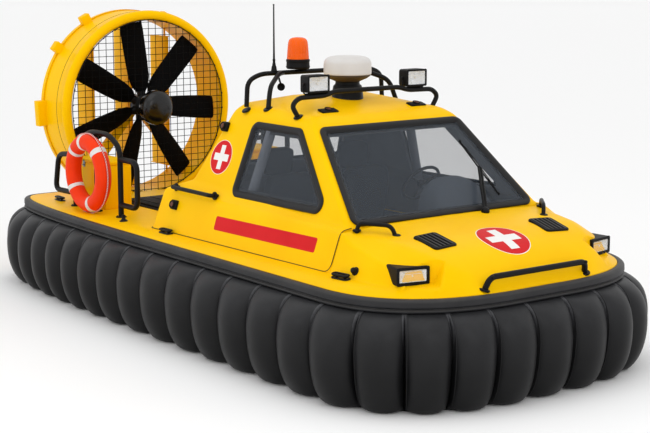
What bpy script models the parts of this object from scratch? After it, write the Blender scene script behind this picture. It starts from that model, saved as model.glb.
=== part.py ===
"""A light rescue hovercraft with one ducted fan, standing on its skirt.

Metres. +X is the bow, +Y is port, +Z is up. The floor is z = 0 and the origin is on it,
under the middle of the craft. Each piece is one object named for what it is.
"""
import math

import bmesh
import bpy
from mathutils import Matrix, Vector

GAP = 0.0003                      # air left between two pieces that touch

# Plan outline of the rim: two squarish stern corners and a rounder bow
RIM_HALF_LENGTH = 3.191
RIM_HALF_WIDTH = 1.40
STERN_CORNER = (3.988, 0.451, 3.717)     # reach along X, reach along Y, exponent
BOW_CORNER = (0.937, 1.167, 2.404)
RIM_TOP = 0.844
RIM_BOTTOM = 0.742

# Hull and deck
HULL_BOTTOM = 0.28
COCKPIT_FLOOR = 0.50
DECK_HEIGHT = 0.885
DECK_RISE = 0.0105                # rise of the deck for each metre towards the bow
DECK_EDGE = 0.20                  # the deck goes flat this far inside the rim

# Skirt
FINGER_VALLEY = 0.075
FINGER_SEAMS = (                  # distances along the rim from the stern's middle to its seams
    0.186, 0.557, 0.925, 1.290, 1.650, 2.003, 2.345, 2.680, 3.025, 3.385, 3.765, 4.170,
    4.590, 5.005, 5.415, 5.825, 6.240, 6.650, 7.020, 7.345, 7.655, 7.985, 8.345,
)
FINGER_COUNT = 2 * len(FINGER_SEAMS)

# Canopy
CANOPY_WALL = 0.04
SEAL_LAP = 0.052
SEAL_PROUD = 0.014
REBATE = 0.006
GLASS_THICK = 0.008

# Fan and duct
FAN_Z = 1.741
DUCT_FRONT = -2.60
DUCT_REAR = -3.13
DUCT_INNER = 0.905
DUCT_OUTER = 0.975
LIP_RADIUS = 0.05
LIP_OUTER = (DUCT_INNER + DUCT_OUTER) / 2 + LIP_RADIUS
FLANGE_OUTER = DUCT_OUTER + 0.012
DUCT_SIDES = 56
DUCT_CLEAR = DUCT_INNER * math.cos(math.pi / DUCT_SIDES)    # the flats of the faceted bore
DUCT_LUGS = ((28.0, 0.05), (52.6, 0.05), (92.7, 0.13))     # degrees from the top, half width
LUG_REACH = 1.06
GUARD_X = -2.615
BLADE_X = -2.72
BLADE_COUNT = 7
BLADE_FIRST_ANGLE = -8.5          # degrees from straight up, turning towards port
BLADE_TIP = 0.870
RUDDER_HINGE_X = -3.045
RUDDER_Y = (-0.45, 0.0, 0.45)

# Cabin and engine bay: low and high corners
COCKPIT = ((-0.46, -1.08, COCKPIT_FLOOR), (1.98, 1.08, 2.0))
ENGINE_BAY = ((-2.10, -0.60, 0.36), (-1.36, 0.60, 1.2))

# Steering wheel
WHEEL_CENTRE = Vector((1.25, 0.43, 1.36))
WHEEL_TILT = 35.0                 # degrees that the column leans back from upright
WHEEL_RADIUS = 0.18

# Seats
SEAT_Y = 0.42
SEAT_BASE_TOP = 0.78

# Deck rails and lifebuoy
RAIL_TUBE = 0.0265
RAIL_Y = 1.12
BUOY_CENTRE = (-1.705, 1.247)     # along X, height
BUOY_RADIUS = 0.296
BUOY_TUBE = 0.078

# Roof rack and what it carries
ROOF_TUBE = 0.021
ROOF_BAR_Z = 2.292
BEACON_PLACE = (0.31, -0.20)
ROOF_LAMPS = 0.53                 # distance of the lamps from the middle

# The ledge ahead of a headlamp, from the lamp's middle
HEADLAMP_LEDGE = -0.065

# Wiper, on a boss below the windscreen: the glass's normal and the way up it
GLASS_NORMAL = Vector((0.6763, 0.0, 0.7366))
GLASS_UP = Vector((-0.7366, 0.0, 0.6763))
GLASS_FOOT = Vector((2.098, 0.0, 1.240))
WIPER_PIVOT = GLASS_FOOT + Vector((0.0, 0.35, 0.0)) - 0.045 * GLASS_UP + 0.045 * GLASS_NORMAL
WIPER_SEAT = -0.010               # the hub starts this far along the normal from the pivot

# Materials: name, colour, roughness, metallic
FINISHES = {
    "yellow_gelcoat": ((0.90, 0.52, 0.0), 0.35, 0.0),
    "skirt_rubber": ((0.035, 0.035, 0.04), 0.60, 0.0),
    "fender_rubber": ((0.05, 0.05, 0.055), 0.55, 0.0),
    "black_metal": ((0.02, 0.02, 0.022), 0.40, 0.3),
    "black_plastic": ((0.02, 0.02, 0.02), 0.50, 0.0),
    "tinted_glass": ((0.10, 0.12, 0.13), 0.05, 0.0),
    "lamp_glass": ((0.75, 0.75, 0.75), 0.10, 0.0),
    "amber_plastic": ((0.90, 0.25, 0.02), 0.20, 0.0),
    "white_plastic": ((0.80, 0.80, 0.78), 0.35, 0.0),
    "orange_foam": ((0.90, 0.13, 0.02), 0.45, 0.0),
    "seat_fabric": ((0.05, 0.05, 0.055), 0.80, 0.0),
    "engine_metal": ((0.25, 0.25, 0.26), 0.50, 0.6),
}


def finish(name):
    material = bpy.data.materials.get(name)
    if material is None:
        colour, roughness, metallic = FINISHES[name]
        material = bpy.data.materials.new(name)
        material.use_nodes = True
        shader = material.node_tree.nodes["Principled BSDF"]
        shader.inputs["Base Color"].default_value = (*colour, 1.0)
        shader.inputs["Roughness"].default_value = roughness
        shader.inputs["Metallic"].default_value = metallic
    return material


# Making solids

def add_solid(name, verts, faces, material, smooth=None):
    """One closed body from points and faces, with its faces turned outwards."""
    mesh = bpy.data.meshes.new(name)
    shape = bmesh.new()
    corners = [shape.verts.new(point) for point in verts]
    for face in faces:
        shape.faces.new([corners[i] for i in face])
    bmesh.ops.remove_doubles(shape, verts=shape.verts, dist=1e-6)
    bmesh.ops.recalc_face_normals(shape, faces=shape.faces)
    shape.to_mesh(mesh)
    shape.free()
    if material:
        mesh.materials.append(finish(material))
    if smooth:
        mesh.shade_smooth()
        mesh.set_sharp_from_angle(angle=math.radians(smooth))
    thing = bpy.data.objects.new(name, mesh)
    bpy.context.collection.objects.link(thing)
    return thing


def loft(name, rings, material, smooth=None, ends=True, around=False):
    """Joins rings of equally many points; ends closes the first and last ring."""
    count = len(rings[0])
    verts = [point for ring in rings for point in ring]
    faces = []
    steps = len(rings) if around else len(rings) - 1
    for k in range(steps):
        here, there = k * count, ((k + 1) % len(rings)) * count
        for i in range(count):
            j = (i + 1) % count
            faces.append((here + i, here + j, there + j, there + i))
    if ends and not around:
        faces.append(tuple(range(count)))
        faces.append(tuple((len(rings) - 1) * count + i for i in range(count)))
    return add_solid(name, verts, faces, material, smooth)


def add_box(name, low, high, material):
    (x0, y0, z0), (x1, y1, z1) = low, high
    ring = [(x0, y0), (x1, y0), (x1, y1), (x0, y1)]
    return loft(name, [[(x, y, z) for x, y in ring] for z in (z0, z1)], material)


def circle(centre, axis, radius, sides, turn=0.0):
    """Points of a circle about an axis, starting from a fixed side direction."""
    axis = Vector(axis).normalized()
    side = axis.cross(Vector((0, 0, 1)))
    if side.length < 1e-4:
        side = axis.cross(Vector((0, 1, 0)))
    side.normalize()
    other = axis.cross(side)
    points = []
    for k in range(sides):
        angle = turn + 2 * math.pi * k / sides
        points.append(Vector(centre) + radius * (math.cos(angle) * side + math.sin(angle) * other))
    return points


def add_turned(name, centre, axis, profile, sides, material, smooth=40):
    """A round piece: profile is a table of (distance along the axis, radius)."""
    axis = Vector(axis).normalized()
    rings = [circle(Vector(centre) + axis * along, axis, radius, sides)
             for along, radius in profile]
    return loft(name, rings, material, smooth)


def add_ring(name, centre, axis, section, sides, material, smooth=40):
    """A closed ring: section is a closed table of (distance along the axis, radius)."""
    axis = Vector(axis).normalized()
    loops = [circle(Vector(centre) + axis * along, axis, radius, sides)
             for along, radius in section]
    rings = [[loop[k] for loop in loops] for k in range(sides)]
    return loft(name, rings, material, smooth, around=True)


def rounded_path(points, bend, steps=2, closed=False):
    """The points of a bent tube: each inner corner becomes an arc of radius bend."""
    points = [Vector(p) for p in points]
    path = []
    count = len(points)
    for i, point in enumerate(points):
        if bend == 0 or (not closed and i in (0, count - 1)):
            path.append(point)
            continue
        before = (points[i - 1] - point)
        after = (points[(i + 1) % count] - point)
        reach = min(bend, 0.45 * before.length, 0.45 * after.length)
        start = point + before.normalized() * reach
        end = point + after.normalized() * reach
        for k in range(steps + 1):
            t = k / steps
            path.append((1 - t) ** 2 * start + 2 * t * (1 - t) * point + t * t * end)
    return path


def add_tube(name, points, radius, material, bend=0.07, sides=7, closed=False):
    """A bent tube through the points, with the section carried along without twist."""
    path = rounded_path(points, bend, closed=closed)
    count = len(path)
    tangents = []
    for i in range(count):
        ahead = path[(i + 1) % count] if closed or i < count - 1 else path[i]
        behind = path[i - 1] if closed or i > 0 else path[i]
        tangents.append((ahead - behind).normalized())
    side = tangents[0].cross(Vector((0.13, 0.07, 1)))
    if side.length < 0.2:
        side = tangents[0].cross(Vector((1, 0, 0)))
    side.normalize()
    rings = []
    for point, tangent in zip(path, tangents):
        side = (side - tangent * side.dot(tangent)).normalized()
        other = tangent.cross(side)
        rings.append([point + radius * (math.cos(a) * side + math.sin(a) * other)
                      for a in (2 * math.pi * k / sides for k in range(sides))])
    return loft(name, rings, material, 50, around=closed)


def boolean(target, tool, operation, keep_tool=False):
    """Applies one exact boolean, and drops the tool."""
    modifier = target.modifiers.new("step", 'BOOLEAN')
    modifier.operation = operation
    modifier.solver = 'EXACT'
    modifier.object = tool
    bpy.context.view_layer.update()
    graph = bpy.context.evaluated_depsgraph_get()
    result = bpy.data.meshes.new_from_object(target.evaluated_get(graph))
    target.modifiers.remove(modifier)
    target.data = result
    if not keep_tool:
        bpy.data.objects.remove(tool)
    return target


def cut(target, *tools):
    for tool in tools:
        boolean(target, tool, 'DIFFERENCE')
    return target


def fuse(target, *tools):
    for tool in tools:
        boolean(target, tool, 'UNION')
    return target


def seat(thing, carrier, direction=(0, 0, 1)):
    """Trims a piece where it meets its carrier, and lifts it off by the usual gap."""
    boolean(thing, carrier, 'DIFFERENCE', keep_tool=True)
    thing.data.transform(Matrix.Translation(Vector(direction).normalized() * 1.5 * GAP))
    return thing


def tidy_mesh(thing, smooth=30):
    """Joins coplanar faces that the cuts left, and shades the result."""
    shape = bmesh.new()
    shape.from_mesh(thing.data)
    bmesh.ops.remove_doubles(shape, verts=shape.verts, dist=1e-5)
    bmesh.ops.dissolve_limit(shape, angle_limit=math.radians(0.02),
                             verts=shape.verts, edges=shape.edges)
    bmesh.ops.triangulate(shape, faces=shape.faces)
    shape.to_mesh(thing.data)
    shape.free()
    thing.data.shade_smooth()
    thing.data.set_sharp_from_angle(angle=math.radians(smooth))
    return thing


SIDES = (("starboard", -1), ("port", 1))


# The rim outline, and columns of points that follow it

def corner_curve(reach_x, reach_y, exponent, steps):
    """A quarter of a superellipse, from its Y end (0, 1) to its X end (1, 0)."""
    power = 2.0 / exponent
    points = []
    for k in range(steps + 1):
        angle = 0.5 * math.pi * k / steps
        points.append((reach_x * math.sin(angle) ** power, reach_y * math.cos(angle) ** power))
    return points


def starboard_outline(steps=240):
    """Dense points of the rim from the stern's middle along starboard to the bow's middle."""
    reach_x, reach_y, exponent = STERN_CORNER
    stern = [(-RIM_HALF_LENGTH + reach_x - dx, -(RIM_HALF_WIDTH - reach_y) - dy)
             for dx, dy in corner_curve(reach_x, reach_y, exponent, steps)][::-1]
    reach_x, reach_y, exponent = BOW_CORNER
    bow = [(RIM_HALF_LENGTH - reach_x + dx, -(RIM_HALF_WIDTH - reach_y) - dy)
           for dx, dy in corner_curve(reach_x, reach_y, exponent, steps)]
    return [Vector((-RIM_HALF_LENGTH, 0.0))] + [Vector(p) for p in stern + bow] + [
        Vector((RIM_HALF_LENGTH, 0.0))]


OUTLINE = starboard_outline()
ARCS = [0.0]
for first, second in zip(OUTLINE, OUTLINE[1:]):
    ARCS.append(ARCS[-1] + (second - first).length)
HALF_RIM = ARCS[-1]


def rim_point(arc):
    """Point and outward normal of the rim at a distance along it, counted from the stern."""
    arc = arc % (2 * HALF_RIM)
    port = arc > HALF_RIM
    if port:
        arc = 2 * HALF_RIM - arc
    low, high = 0, len(ARCS) - 1
    while high - low > 1:
        middle = (low + high) // 2
        if ARCS[middle] <= arc:
            low = middle
        else:
            high = middle
    t = (arc - ARCS[low]) / max(ARCS[high] - ARCS[low], 1e-9)
    point = OUTLINE[low].lerp(OUTLINE[high], t)
    if port:
        point = Vector((point.x, -point.y))
    return point


def rim_normal(arc, reach=0.05):
    step = rim_point(arc + reach) - rim_point(arc - reach)
    return Vector((step.y, -step.x)).normalized()


def rim_offset(arc, offset, height):
    """A point off the rim: outwards along its normal, inwards by drawing it in."""
    point = rim_point(arc)
    if offset > 0:
        point = point + rim_normal(arc) * offset
    else:
        point = Vector((point.x * (1 + offset / RIM_HALF_LENGTH),
                        point.y * (1 + offset / RIM_HALF_WIDTH)))
    return Vector((point.x, point.y, height))


def hull_arcs(count):
    """Places along the rim, closer together where it turns."""
    dense = [2 * HALF_RIM * k / 1200 for k in range(1200)]
    weights = [0.0]
    for first, second in zip(dense, dense[1:] + [2 * HALF_RIM]):
        turn = rim_normal(first, 0.03).angle(rim_normal(second, 0.03))
        weights.append(weights[-1] + (second - first) / 0.35 + turn / math.radians(9))
    arcs = []
    k = 0
    for i in range(count):
        goal = weights[-1] * i / count
        while weights[k + 1] <= goal:
            k += 1
        share = (goal - weights[k]) / (weights[k + 1] - weights[k])
        arcs.append(2 * HALF_RIM * (k + share) / 1200)
    return arcs


def deck_z(x):
    return DECK_HEIGHT + DECK_RISE * x


def finger_seam(k):
    """Distance along the rim of finger k's first seam; a finger lies across each end."""
    mirrored = [2 * HALF_RIM - arc for arc in FINGER_SEAMS[::-1]]
    seams = list(FINGER_SEAMS) + mirrored
    return seams[k % FINGER_COUNT] + 2 * HALF_RIM * (k // FINGER_COUNT)


# Hull, fender and skirt

HOOD_SECTIONS = (
    # x, then half widths and heights of the foot, the shoulder and the edge of the top
    (1.90, (1.195, 0.895), (1.085, 1.220), (0.960, 1.225)),
    (2.10, (1.200, 0.900), (1.088, 1.208), (0.955, 1.215)),
    (2.40, (1.200, 0.895), (1.110, 1.058), (0.900, 1.190)),
    (2.64, (1.180, 0.885), (1.120, 0.955), (0.860, 1.145)),
    (2.86, (1.110, 0.870), (1.060, 0.905), (0.790, 1.065)),
    (3.02, (0.930, 0.858), (0.890, 0.880), (0.660, 0.970)),
    (3.13, (0.610, 0.852), (0.590, 0.8545), (0.500, 0.862)),
)
HOOD_ROOT = 0.06                  # how far the hood reaches below its foot, into the deck


def make_hood():
    rings = []
    for x, foot, shoulder, top in HOOD_SECTIONS:
        half = [(foot[0], foot[1] - HOOD_ROOT), foot, shoulder, top]
        ring = half + [(-y, z) for y, z in half[::-1]]
        rings.append([(x, y, z) for y, z in ring])
    return loft("hood", rings, None)


def make_hull():
    arcs = hull_arcs(84)
    inside = -0.02
    rings = [
        [rim_offset(a, -0.34, HULL_BOTTOM) for a in arcs],
        [rim_offset(a, -0.11, RIM_BOTTOM) for a in arcs],
        [rim_offset(a, inside, RIM_BOTTOM) for a in arcs],
        [rim_offset(a, inside, RIM_TOP) for a in arcs],
    ]
    edge = [rim_offset(a, -DECK_EDGE, 0.0) for a in arcs]
    rings.append([Vector((p.x, p.y, deck_z(p.x))) for p in edge])
    hull = loft("hull", rings, "yellow_gelcoat")
    fuse(hull, make_hood())
    cut(hull, canopy_form("canopy_room", -GAP))
    cut(hull, add_box("cockpit", *COCKPIT, None), add_box("engine_bay", *ENGINE_BAY, None))
    lip, flange = LIP_OUTER + GAP, FLANGE_OUTER + GAP
    reach = [(2.47, lip), (2.72, lip), (2.721, flange), (-DUCT_REAR + GAP, flange)]
    cut(hull, add_turned("duct_seat", (0, 0, FAN_Z), (-1, 0, 0), reach, DUCT_SIDES, None))
    for side in (-1, 1):
        cut(hull, headlamp_box("pocket", side, GAP))
        ledge = add_box("ledge", (0.04, -0.15, HEADLAMP_LEDGE), (0.34, 0.15, 0.30), None)
        ledge.data.transform(headlamp_place(side))
        cut(hull, ledge)
        fuse(hull, add_box("seat_base", (0.42, SEAT_Y * side - 0.20, COCKPIT_FLOOR - 0.05),
                           (0.92, SEAT_Y * side + 0.20, SEAT_BASE_TOP), None))
    return tidy_mesh(hull, 25)


def make_fender():
    arcs = hull_arcs(84)
    section = [(-0.0195, RIM_BOTTOM), (0.022, RIM_BOTTOM), (0.034, 0.775),
               (0.030, 0.825), (0.012, RIM_TOP), (-0.0195, RIM_TOP)]
    rings = [[rim_offset(a, off, z) for off, z in section] for a in arcs]
    return loft("rim_fender", rings, "fender_rubber", 40, around=True)


SKIRT_SECTION = (
    # offset from the rim, height, share of the valley's depth
    (0.002, RIM_BOTTOM - GAP, 0.0),
    (0.125, 0.685, 0.6),
    (0.215, 0.570, 1.0),
    (0.250, 0.400, 1.2),
    (0.230, 0.230, 1.2),
    (0.165, 0.080, 1.0),
    (0.075, 0.000, 0.0),
    (0.000, 0.000, 0.0),
    (-0.150, 0.220, 0.0),
    (-0.050, RIM_BOTTOM - GAP, 0.0),
)
FINGER_COLUMNS = ((0.0, 1.0), (0.14, 0.42), (0.5, 0.0), (0.86, 0.42))   # place, depth


def make_skirt():
    rings = []
    for k in range(FINGER_COUNT):
        start, end = finger_seam(k), finger_seam(k + 1)
        for place, depth in FINGER_COLUMNS:
            arc = start + (end - start) * place
            rings.append([rim_offset(arc, off - FINGER_VALLEY * depth * share, z)
                          for off, z, share in SKIRT_SECTION])
    return loft("skirt", rings, "skirt_rubber", 35, around=True)


# Canopy

CANOPY_LEVELS = (
    # rear x, front x, rear z, front z, rear half width, front half width, corner radius
    (-0.590, 2.100, None, None, 1.200, 1.200, 0.07),
    (-0.550, 2.100, 1.235, 1.225, 1.085, 1.085, 0.07),
    (-0.220, 2.088, 1.345, 1.240, 0.980, 1.015, 0.06),
    (0.110, 1.325, 1.975, 1.945, 0.755, 0.762, 0.06),
    (0.180, 1.235, 2.030, 1.995, 0.695, 0.700, 0.08),
    (0.420, 1.000, 2.072, 2.050, 0.400, 0.400, 0.10),
)
CORNER_STEPS = 4


def plan_loop(rear, front, half_rear, half_front, radius):
    """A four-sided outline with round corners, anticlockwise from starboard aft."""
    corners = [(rear, -half_rear), (front, -half_front), (front, half_front), (rear, half_rear)]
    points = []
    for i, corner in enumerate(corners):
        corner = Vector(corner)
        before = (Vector(corners[i - 1]) - corner).normalized()
        after = (Vector(corners[(i + 1) % 4]) - corner).normalized()
        start, end = corner + before * radius, corner + after * radius
        for k in range(CORNER_STEPS + 1):
            t = k / CORNER_STEPS
            points.append((1 - t) ** 2 * start + 2 * t * (1 - t) * corner + t * t * end)
    return points


def canopy_form(name, inset, foot=None):
    """The canopy's outer shape drawn in by inset; it ends on the deck, or at the height foot."""
    rings = []
    for number, level in enumerate(CANOPY_LEVELS):
        rear, front, z_rear, z_front, half_rear, half_front, radius = level
        lift = 0.0
        if number >= 3:
            lift = inset
        slope = 1.0 if number < 2 else 1.35
        rear, front = rear + inset * slope, front - inset * slope
        half_rear, half_front = half_rear - inset, half_front - inset
        loop = plan_loop(rear, front, half_rear, half_front, max(radius - inset, 0.02))
        ring = []
        for p in loop:
            if number == 0:
                z = deck_z(p.x) + min(inset, 0.0) if foot is None else foot
            else:
                z = z_rear + (z_front - z_rear) * (p.x - rear) / (front - rear) - lift
            ring.append(Vector((p.x, p.y, z)))
        rings.append(ring)
    return loft(name, rings, "yellow_gelcoat")


def pane_outline(corners, radius, grow):
    """Corner points of a pane seen from outside, from its lower left, with round corners."""
    corners = [Vector(c) for c in corners]
    normal = (corners[1] - corners[0]).cross(corners[3] - corners[0]).normalized()
    moved = []
    for i, corner in enumerate(corners):
        before = (corner - corners[i - 1]).normalized()
        after = (corners[(i + 1) % 4] - corner).normalized()
        out_before, out_after = before.cross(normal), after.cross(normal)
        spread = 1 + out_before.dot(out_after)
        moved.append(corner + (out_before + out_after) * grow / spread)
    points = []
    reach = radius + grow
    for i, corner in enumerate(moved):
        before = (moved[i - 1] - corner).normalized()
        after = (moved[(i + 1) % 4] - corner).normalized()
        half = before.angle(after) / 2
        inset = max(reach, 0.012) / math.tan(half)
        start, end = corner + before * inset, corner + after * inset
        centre = corner + (before + after).normalized() * max(reach, 0.012) / math.sin(half)
        for k in range(CORNER_STEPS + 1):
            turn = (start - centre).normalized().slerp((end - centre).normalized(),
                                                       k / CORNER_STEPS)
            points.append(centre + turn * max(reach, 0.012))
    return points, normal


def add_pane(name, corners, radius, grow, inner, outer, material):
    """A slab between two depths off the pane's face, outer being away from the cabin."""
    points, normal = pane_outline(corners, radius, grow)
    rings = [[p + normal * depth for p in points] for depth in (inner, outer)]
    return loft(name, rings, material, 40)


def side_window(side):
    """Corners of a side window as seen from outside, from its lower left."""
    after, ahead = -1.003, -0.995
    starboard = [(0.480, after, 1.285), (1.745, ahead, 1.300),
                 (1.165, -0.778, 1.905), (0.520, -0.778, 1.905)]
    if side < 0:
        return starboard
    low_rear, low_front, top_front, top_rear = [(x, -y, z) for x, y, z in starboard]
    return [low_front, low_rear, top_rear, top_front]


WINDSCREEN = [(2.098, -0.965, 1.240), (2.098, 0.965, 1.240),
              (1.352, 0.745, 1.925), (1.352, -0.745, 1.925)]
REAR_WINDOW = [(-0.145, 0.62, 1.475), (-0.145, -0.62, 1.475),
               (0.055, -0.52, 1.860), (0.055, 0.52, 1.860)]
PANES = (
    # name, corners, corner radius
    ("windscreen", WINDSCREEN, 0.075),
    ("side_window_starboard", side_window(-1), 0.085),
    ("side_window_port", side_window(1), 0.085),
    ("rear_window", REAR_WINDOW, 0.07),
)


def make_canopy():
    canopy = canopy_form("canopy", 0.0)
    cut(canopy, canopy_form("canopy_inside", CANOPY_WALL, DECK_HEIGHT - 0.1))
    cut(canopy, add_box("front_opening", (1.90, -0.955, 0.8), (2.4, 0.955, 1.215), None))
    for name, corners, radius in PANES:
        cut(canopy, add_pane("rebate", corners, radius, GAP, -REBATE, 0.15, None))
        cut(canopy, add_pane("hole", corners, radius, -SEAL_LAP, -0.20, 0.15, None))
    boss = [(2.070, 1.2158), (2.176, 1.2158), (2.1357, 1.2529), (2.108, 1.231), (2.070, 1.230)]
    fuse(canopy, loft("wiper_boss", [[(x, WIPER_PIVOT.y + w, z) for x, z in boss]
                                     for w in (-0.035, 0.035)], None))
    tidy_mesh(canopy, 25)
    for name, corners, radius in PANES:
        seal = add_pane(name + "_seal", corners, radius, 0.0, GAP - REBATE, SEAL_PROUD,
                        "black_plastic")
        cut(seal, add_pane("inner", corners, radius, -SEAL_LAP - 0.008, -0.05, 0.05, None))
        tidy_mesh(seal)
        add_pane(name, corners, radius, -SEAL_LAP - GAP, -REBATE - GLASS_THICK, -REBATE,
                 "tinted_glass")
    return canopy


# Cab fittings

def make_dashboard():
    front = COCKPIT[1][0] - GAP
    half = COCKPIT[1][1] - GAP
    profile = [(1.62, 0.86), (1.56, 1.10), (1.62, 1.155), (1.90, 1.165), (front, 1.14),
               (front, 0.86)]
    dash = loft("dashboard", [[(x, y, z) for x, z in profile] for y in (-1.0, 1.0)],
                "black_plastic")
    fuse(dash, add_box("shelf", (1.68, -half, 0.80), (front, half, 0.893), None))
    fuse(dash, add_box("scuttle", (1.90, -0.94, 0.93), (2.045, 0.94, 1.15), None))
    pod = [(1.52, 1.12), (1.50, 1.29), (1.60, 1.35), (1.80, 1.32), (1.93, 1.20), (1.93, 1.12)]
    return fuse(dash, loft("pod", [[(x, y, z) for x, z in pod] for y in (0.17, 0.72)], None))


def make_seats():
    for label, side in SIDES:
        y = SEAT_Y * side
        seat_top = SEAT_BASE_TOP + GAP
        cushion = add_box("seat_" + label, (0.38, y - 0.24, seat_top), (0.98, y + 0.24, 0.90),
                          "seat_fabric")
        back = [(0.36, 0.80), (0.52, 0.80), (0.40, 1.42), (0.26, 1.42)]
        head = [(0.27, 1.38), (0.39, 1.38), (0.36, 1.63), (0.26, 1.63)]
        fuse(cushion, loft("back", [[(x, y + w, z) for x, z in back] for w in (-0.25, 0.25)],
                           None))
        fuse(cushion, loft("head", [[(x, y + w, z) for x, z in head] for w in (-0.15, 0.15)],
                           None))
        tidy_mesh(cushion)


def make_steering(dash):
    """The wheel turns about the axis of its column, which is part of the dashboard."""
    lean = math.radians(WHEEL_TILT)
    axis = Vector((-math.cos(lean), 0, math.sin(lean)))       # from the dash to the driver
    wheel = add_tube("steering_wheel", circle((0, 0, 0), axis, WHEEL_RADIUS, 16), 0.014,
                     "black_plastic", bend=0.0, sides=6, closed=True)
    fuse(wheel, add_turned("hub", -0.03 * axis, axis, [(0, 0.035), (0.04, 0.04)], 12, None))
    for place in (1, 6, 11):
        rim_at = circle((0, 0, 0), axis, WHEEL_RADIUS, 15, math.radians(-18))[place]
        fuse(wheel, add_turned("spoke", -0.01 * axis, rim_at, [(0.01, 0.011), (WHEEL_RADIUS, 0.009)],
                               6, None))
    tidy_mesh(wheel, 40)
    wheel.location = WHEEL_CENTRE
    end = WHEEL_CENTRE - axis * (0.03 + GAP)
    fuse(dash, add_turned("column", end - axis * 0.32, axis, [(0, 0.028), (0.32, 0.028)], 12, None))
    tidy_mesh(dash)


# Fan, duct and rudders

def make_duct():
    lip = LIP_RADIUS
    middle = (DUCT_INNER + DUCT_OUTER) / 2
    flange = FLANGE_OUTER
    bead = [(DUCT_FRONT - lip + lip * math.cos(a), middle + lip * math.sin(a))
            for a in (math.radians(-130 + 260 * k / 6) for k in range(7))]
    section = [(DUCT_REAR, DUCT_INNER)] + bead + [
        (DUCT_REAR + 0.05, DUCT_OUTER), (DUCT_REAR + 0.05, flange), (DUCT_REAR, flange)]
    duct = add_ring("duct", (0, 0, FAN_Z), (1, 0, 0), section, DUCT_SIDES,
                    "yellow_gelcoat", 40)
    for degrees, half_width in DUCT_LUGS:
        for side in (-1, 1):
            angle = math.radians(degrees) * side
            out = Vector((0, math.sin(angle), math.cos(angle)))
            along = Vector((0, math.cos(angle), -math.sin(angle)))
            ring = [Vector((DUCT_REAR + dx, 0, FAN_Z)) + along * da
                    for dx, da in ((0.003, -half_width), (0.09, -half_width),
                                   (0.09, half_width), (0.003, half_width))]
            rings = [[p + out * r for p in ring] for r in (DUCT_OUTER - 0.03, LUG_REACH)]
            fuse(duct, loft("lug", rings, None))
    return tidy_mesh(duct, 35)


def make_guard(duct):
    pitch, bar, bars = 0.215, 0.005, 8
    lines = [(-(bars - 1) / 2 + k) * pitch for k in range(bars)]
    guard = add_ring("fan_guard", (GUARD_X, 0, FAN_Z), (1, 0, 0),
                     [(-0.010, 0.878), (0.010, 0.878), (0.010, 0.920), (-0.010, 0.920)],
                     DUCT_SIDES, "black_metal")
    for at in lines:
        half = math.sqrt(0.888 ** 2 - at ** 2)
        upright = add_box("wire", (GUARD_X - bar, at - bar, FAN_Z - half),
                          (GUARD_X + bar, at + bar, FAN_Z + half), None)
        fuse(guard, upright)
        across = add_box("wire", (GUARD_X - bar, -half, FAN_Z + at - bar),
                         (GUARD_X + bar, half, FAN_Z + at + bar), None)
        fuse(guard, across)
    cut(guard, add_turned("hole", (GUARD_X - 0.03, 0, FAN_Z), (1, 0, 0),
                          [(0, 0.10), (0.06, 0.10)], 24, None))
    fuse(guard, add_ring("collar", (GUARD_X, 0, FAN_Z), (1, 0, 0),
                         [(-0.006, 0.095), (0.006, 0.095), (0.006, 0.112), (-0.006, 0.112)],
                         24, None))
    return tidy_mesh(seat(guard, duct, (1, 0, 0)), 30)


def make_rotor():
    """Hub, spinner and blades, one turning piece about the fan's axis."""
    profile = [(-0.165, 0.045), (-0.10, 0.045), (-0.10, 0.115), (0.02, 0.115), (0.03, 0.080),
               (0.16, 0.080), (0.16, 0.165), (0.20, 0.183), (0.26, 0.172), (0.31, 0.135),
               (0.34, 0.085), (0.35, 0.03)]
    rotor = add_turned("fan_rotor", (BLADE_X, 0, FAN_Z), (1, 0, 0), profile, 24, "black_plastic")
    for k in range(BLADE_COUNT):
        angle = math.radians(BLADE_FIRST_ANGLE + 360 * k / BLADE_COUNT)
        out = Vector((0, math.sin(angle), math.cos(angle)))
        along = Vector((0, math.cos(angle), -math.sin(angle)))
        rings = []
        for radius, half_chord, pitch in ((0.09, 0.060, 50), (0.30, 0.105, 40),
                                          (0.60, 0.128, 30), (BLADE_TIP, 0.122, 24)):
            turn = math.radians(pitch)
            chord = along * math.cos(turn) + Vector((1, 0, 0)) * math.sin(turn)
            thick = out.cross(chord).normalized()
            hub = Vector((BLADE_X - 0.03, 0, FAN_Z)) + out * radius
            rings.append([hub - chord * half_chord, hub - thick * 0.010,
                          hub + chord * half_chord, hub + thick * 0.010])
        fuse(rotor, loft("blade", rings, None))
    rotor.data.transform(Matrix.Translation((-BLADE_X, 0, -FAN_Z)))
    rotor.location = (BLADE_X, 0, FAN_Z)
    return tidy_mesh(rotor, 35)


def make_fan_stay(duct):
    """Bearing housing behind the fan, on two legs that stand in the duct."""
    x = BLADE_X - 0.185
    legs = []
    for side in (-1, 1):
        angle = math.radians(140) * side
        out = Vector((0, math.sin(angle), math.cos(angle)))
        along = Vector((0, math.cos(angle), -math.sin(angle)))
        rings = []
        for radius in (0.07, DUCT_INNER + 0.02):
            centre = Vector((x, 0, FAN_Z)) + out * radius
            rings.append([centre + along * da + Vector((dx, 0, 0))
                          for dx, da in ((-0.03, -0.05), (0.03, -0.05), (0.03, 0.05), (-0.03, 0.05))])
        legs.append(seat(loft("leg", rings, None), duct))
    stay = add_ring("fan_stay", (x, 0, FAN_Z), (1, 0, 0),
                    [(-0.04, 0.046), (0.04, 0.046), (0.04, 0.095), (-0.04, 0.095)], 24,
                    "yellow_gelcoat")
    return tidy_mesh(fuse(stay, *legs), 35)


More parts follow.
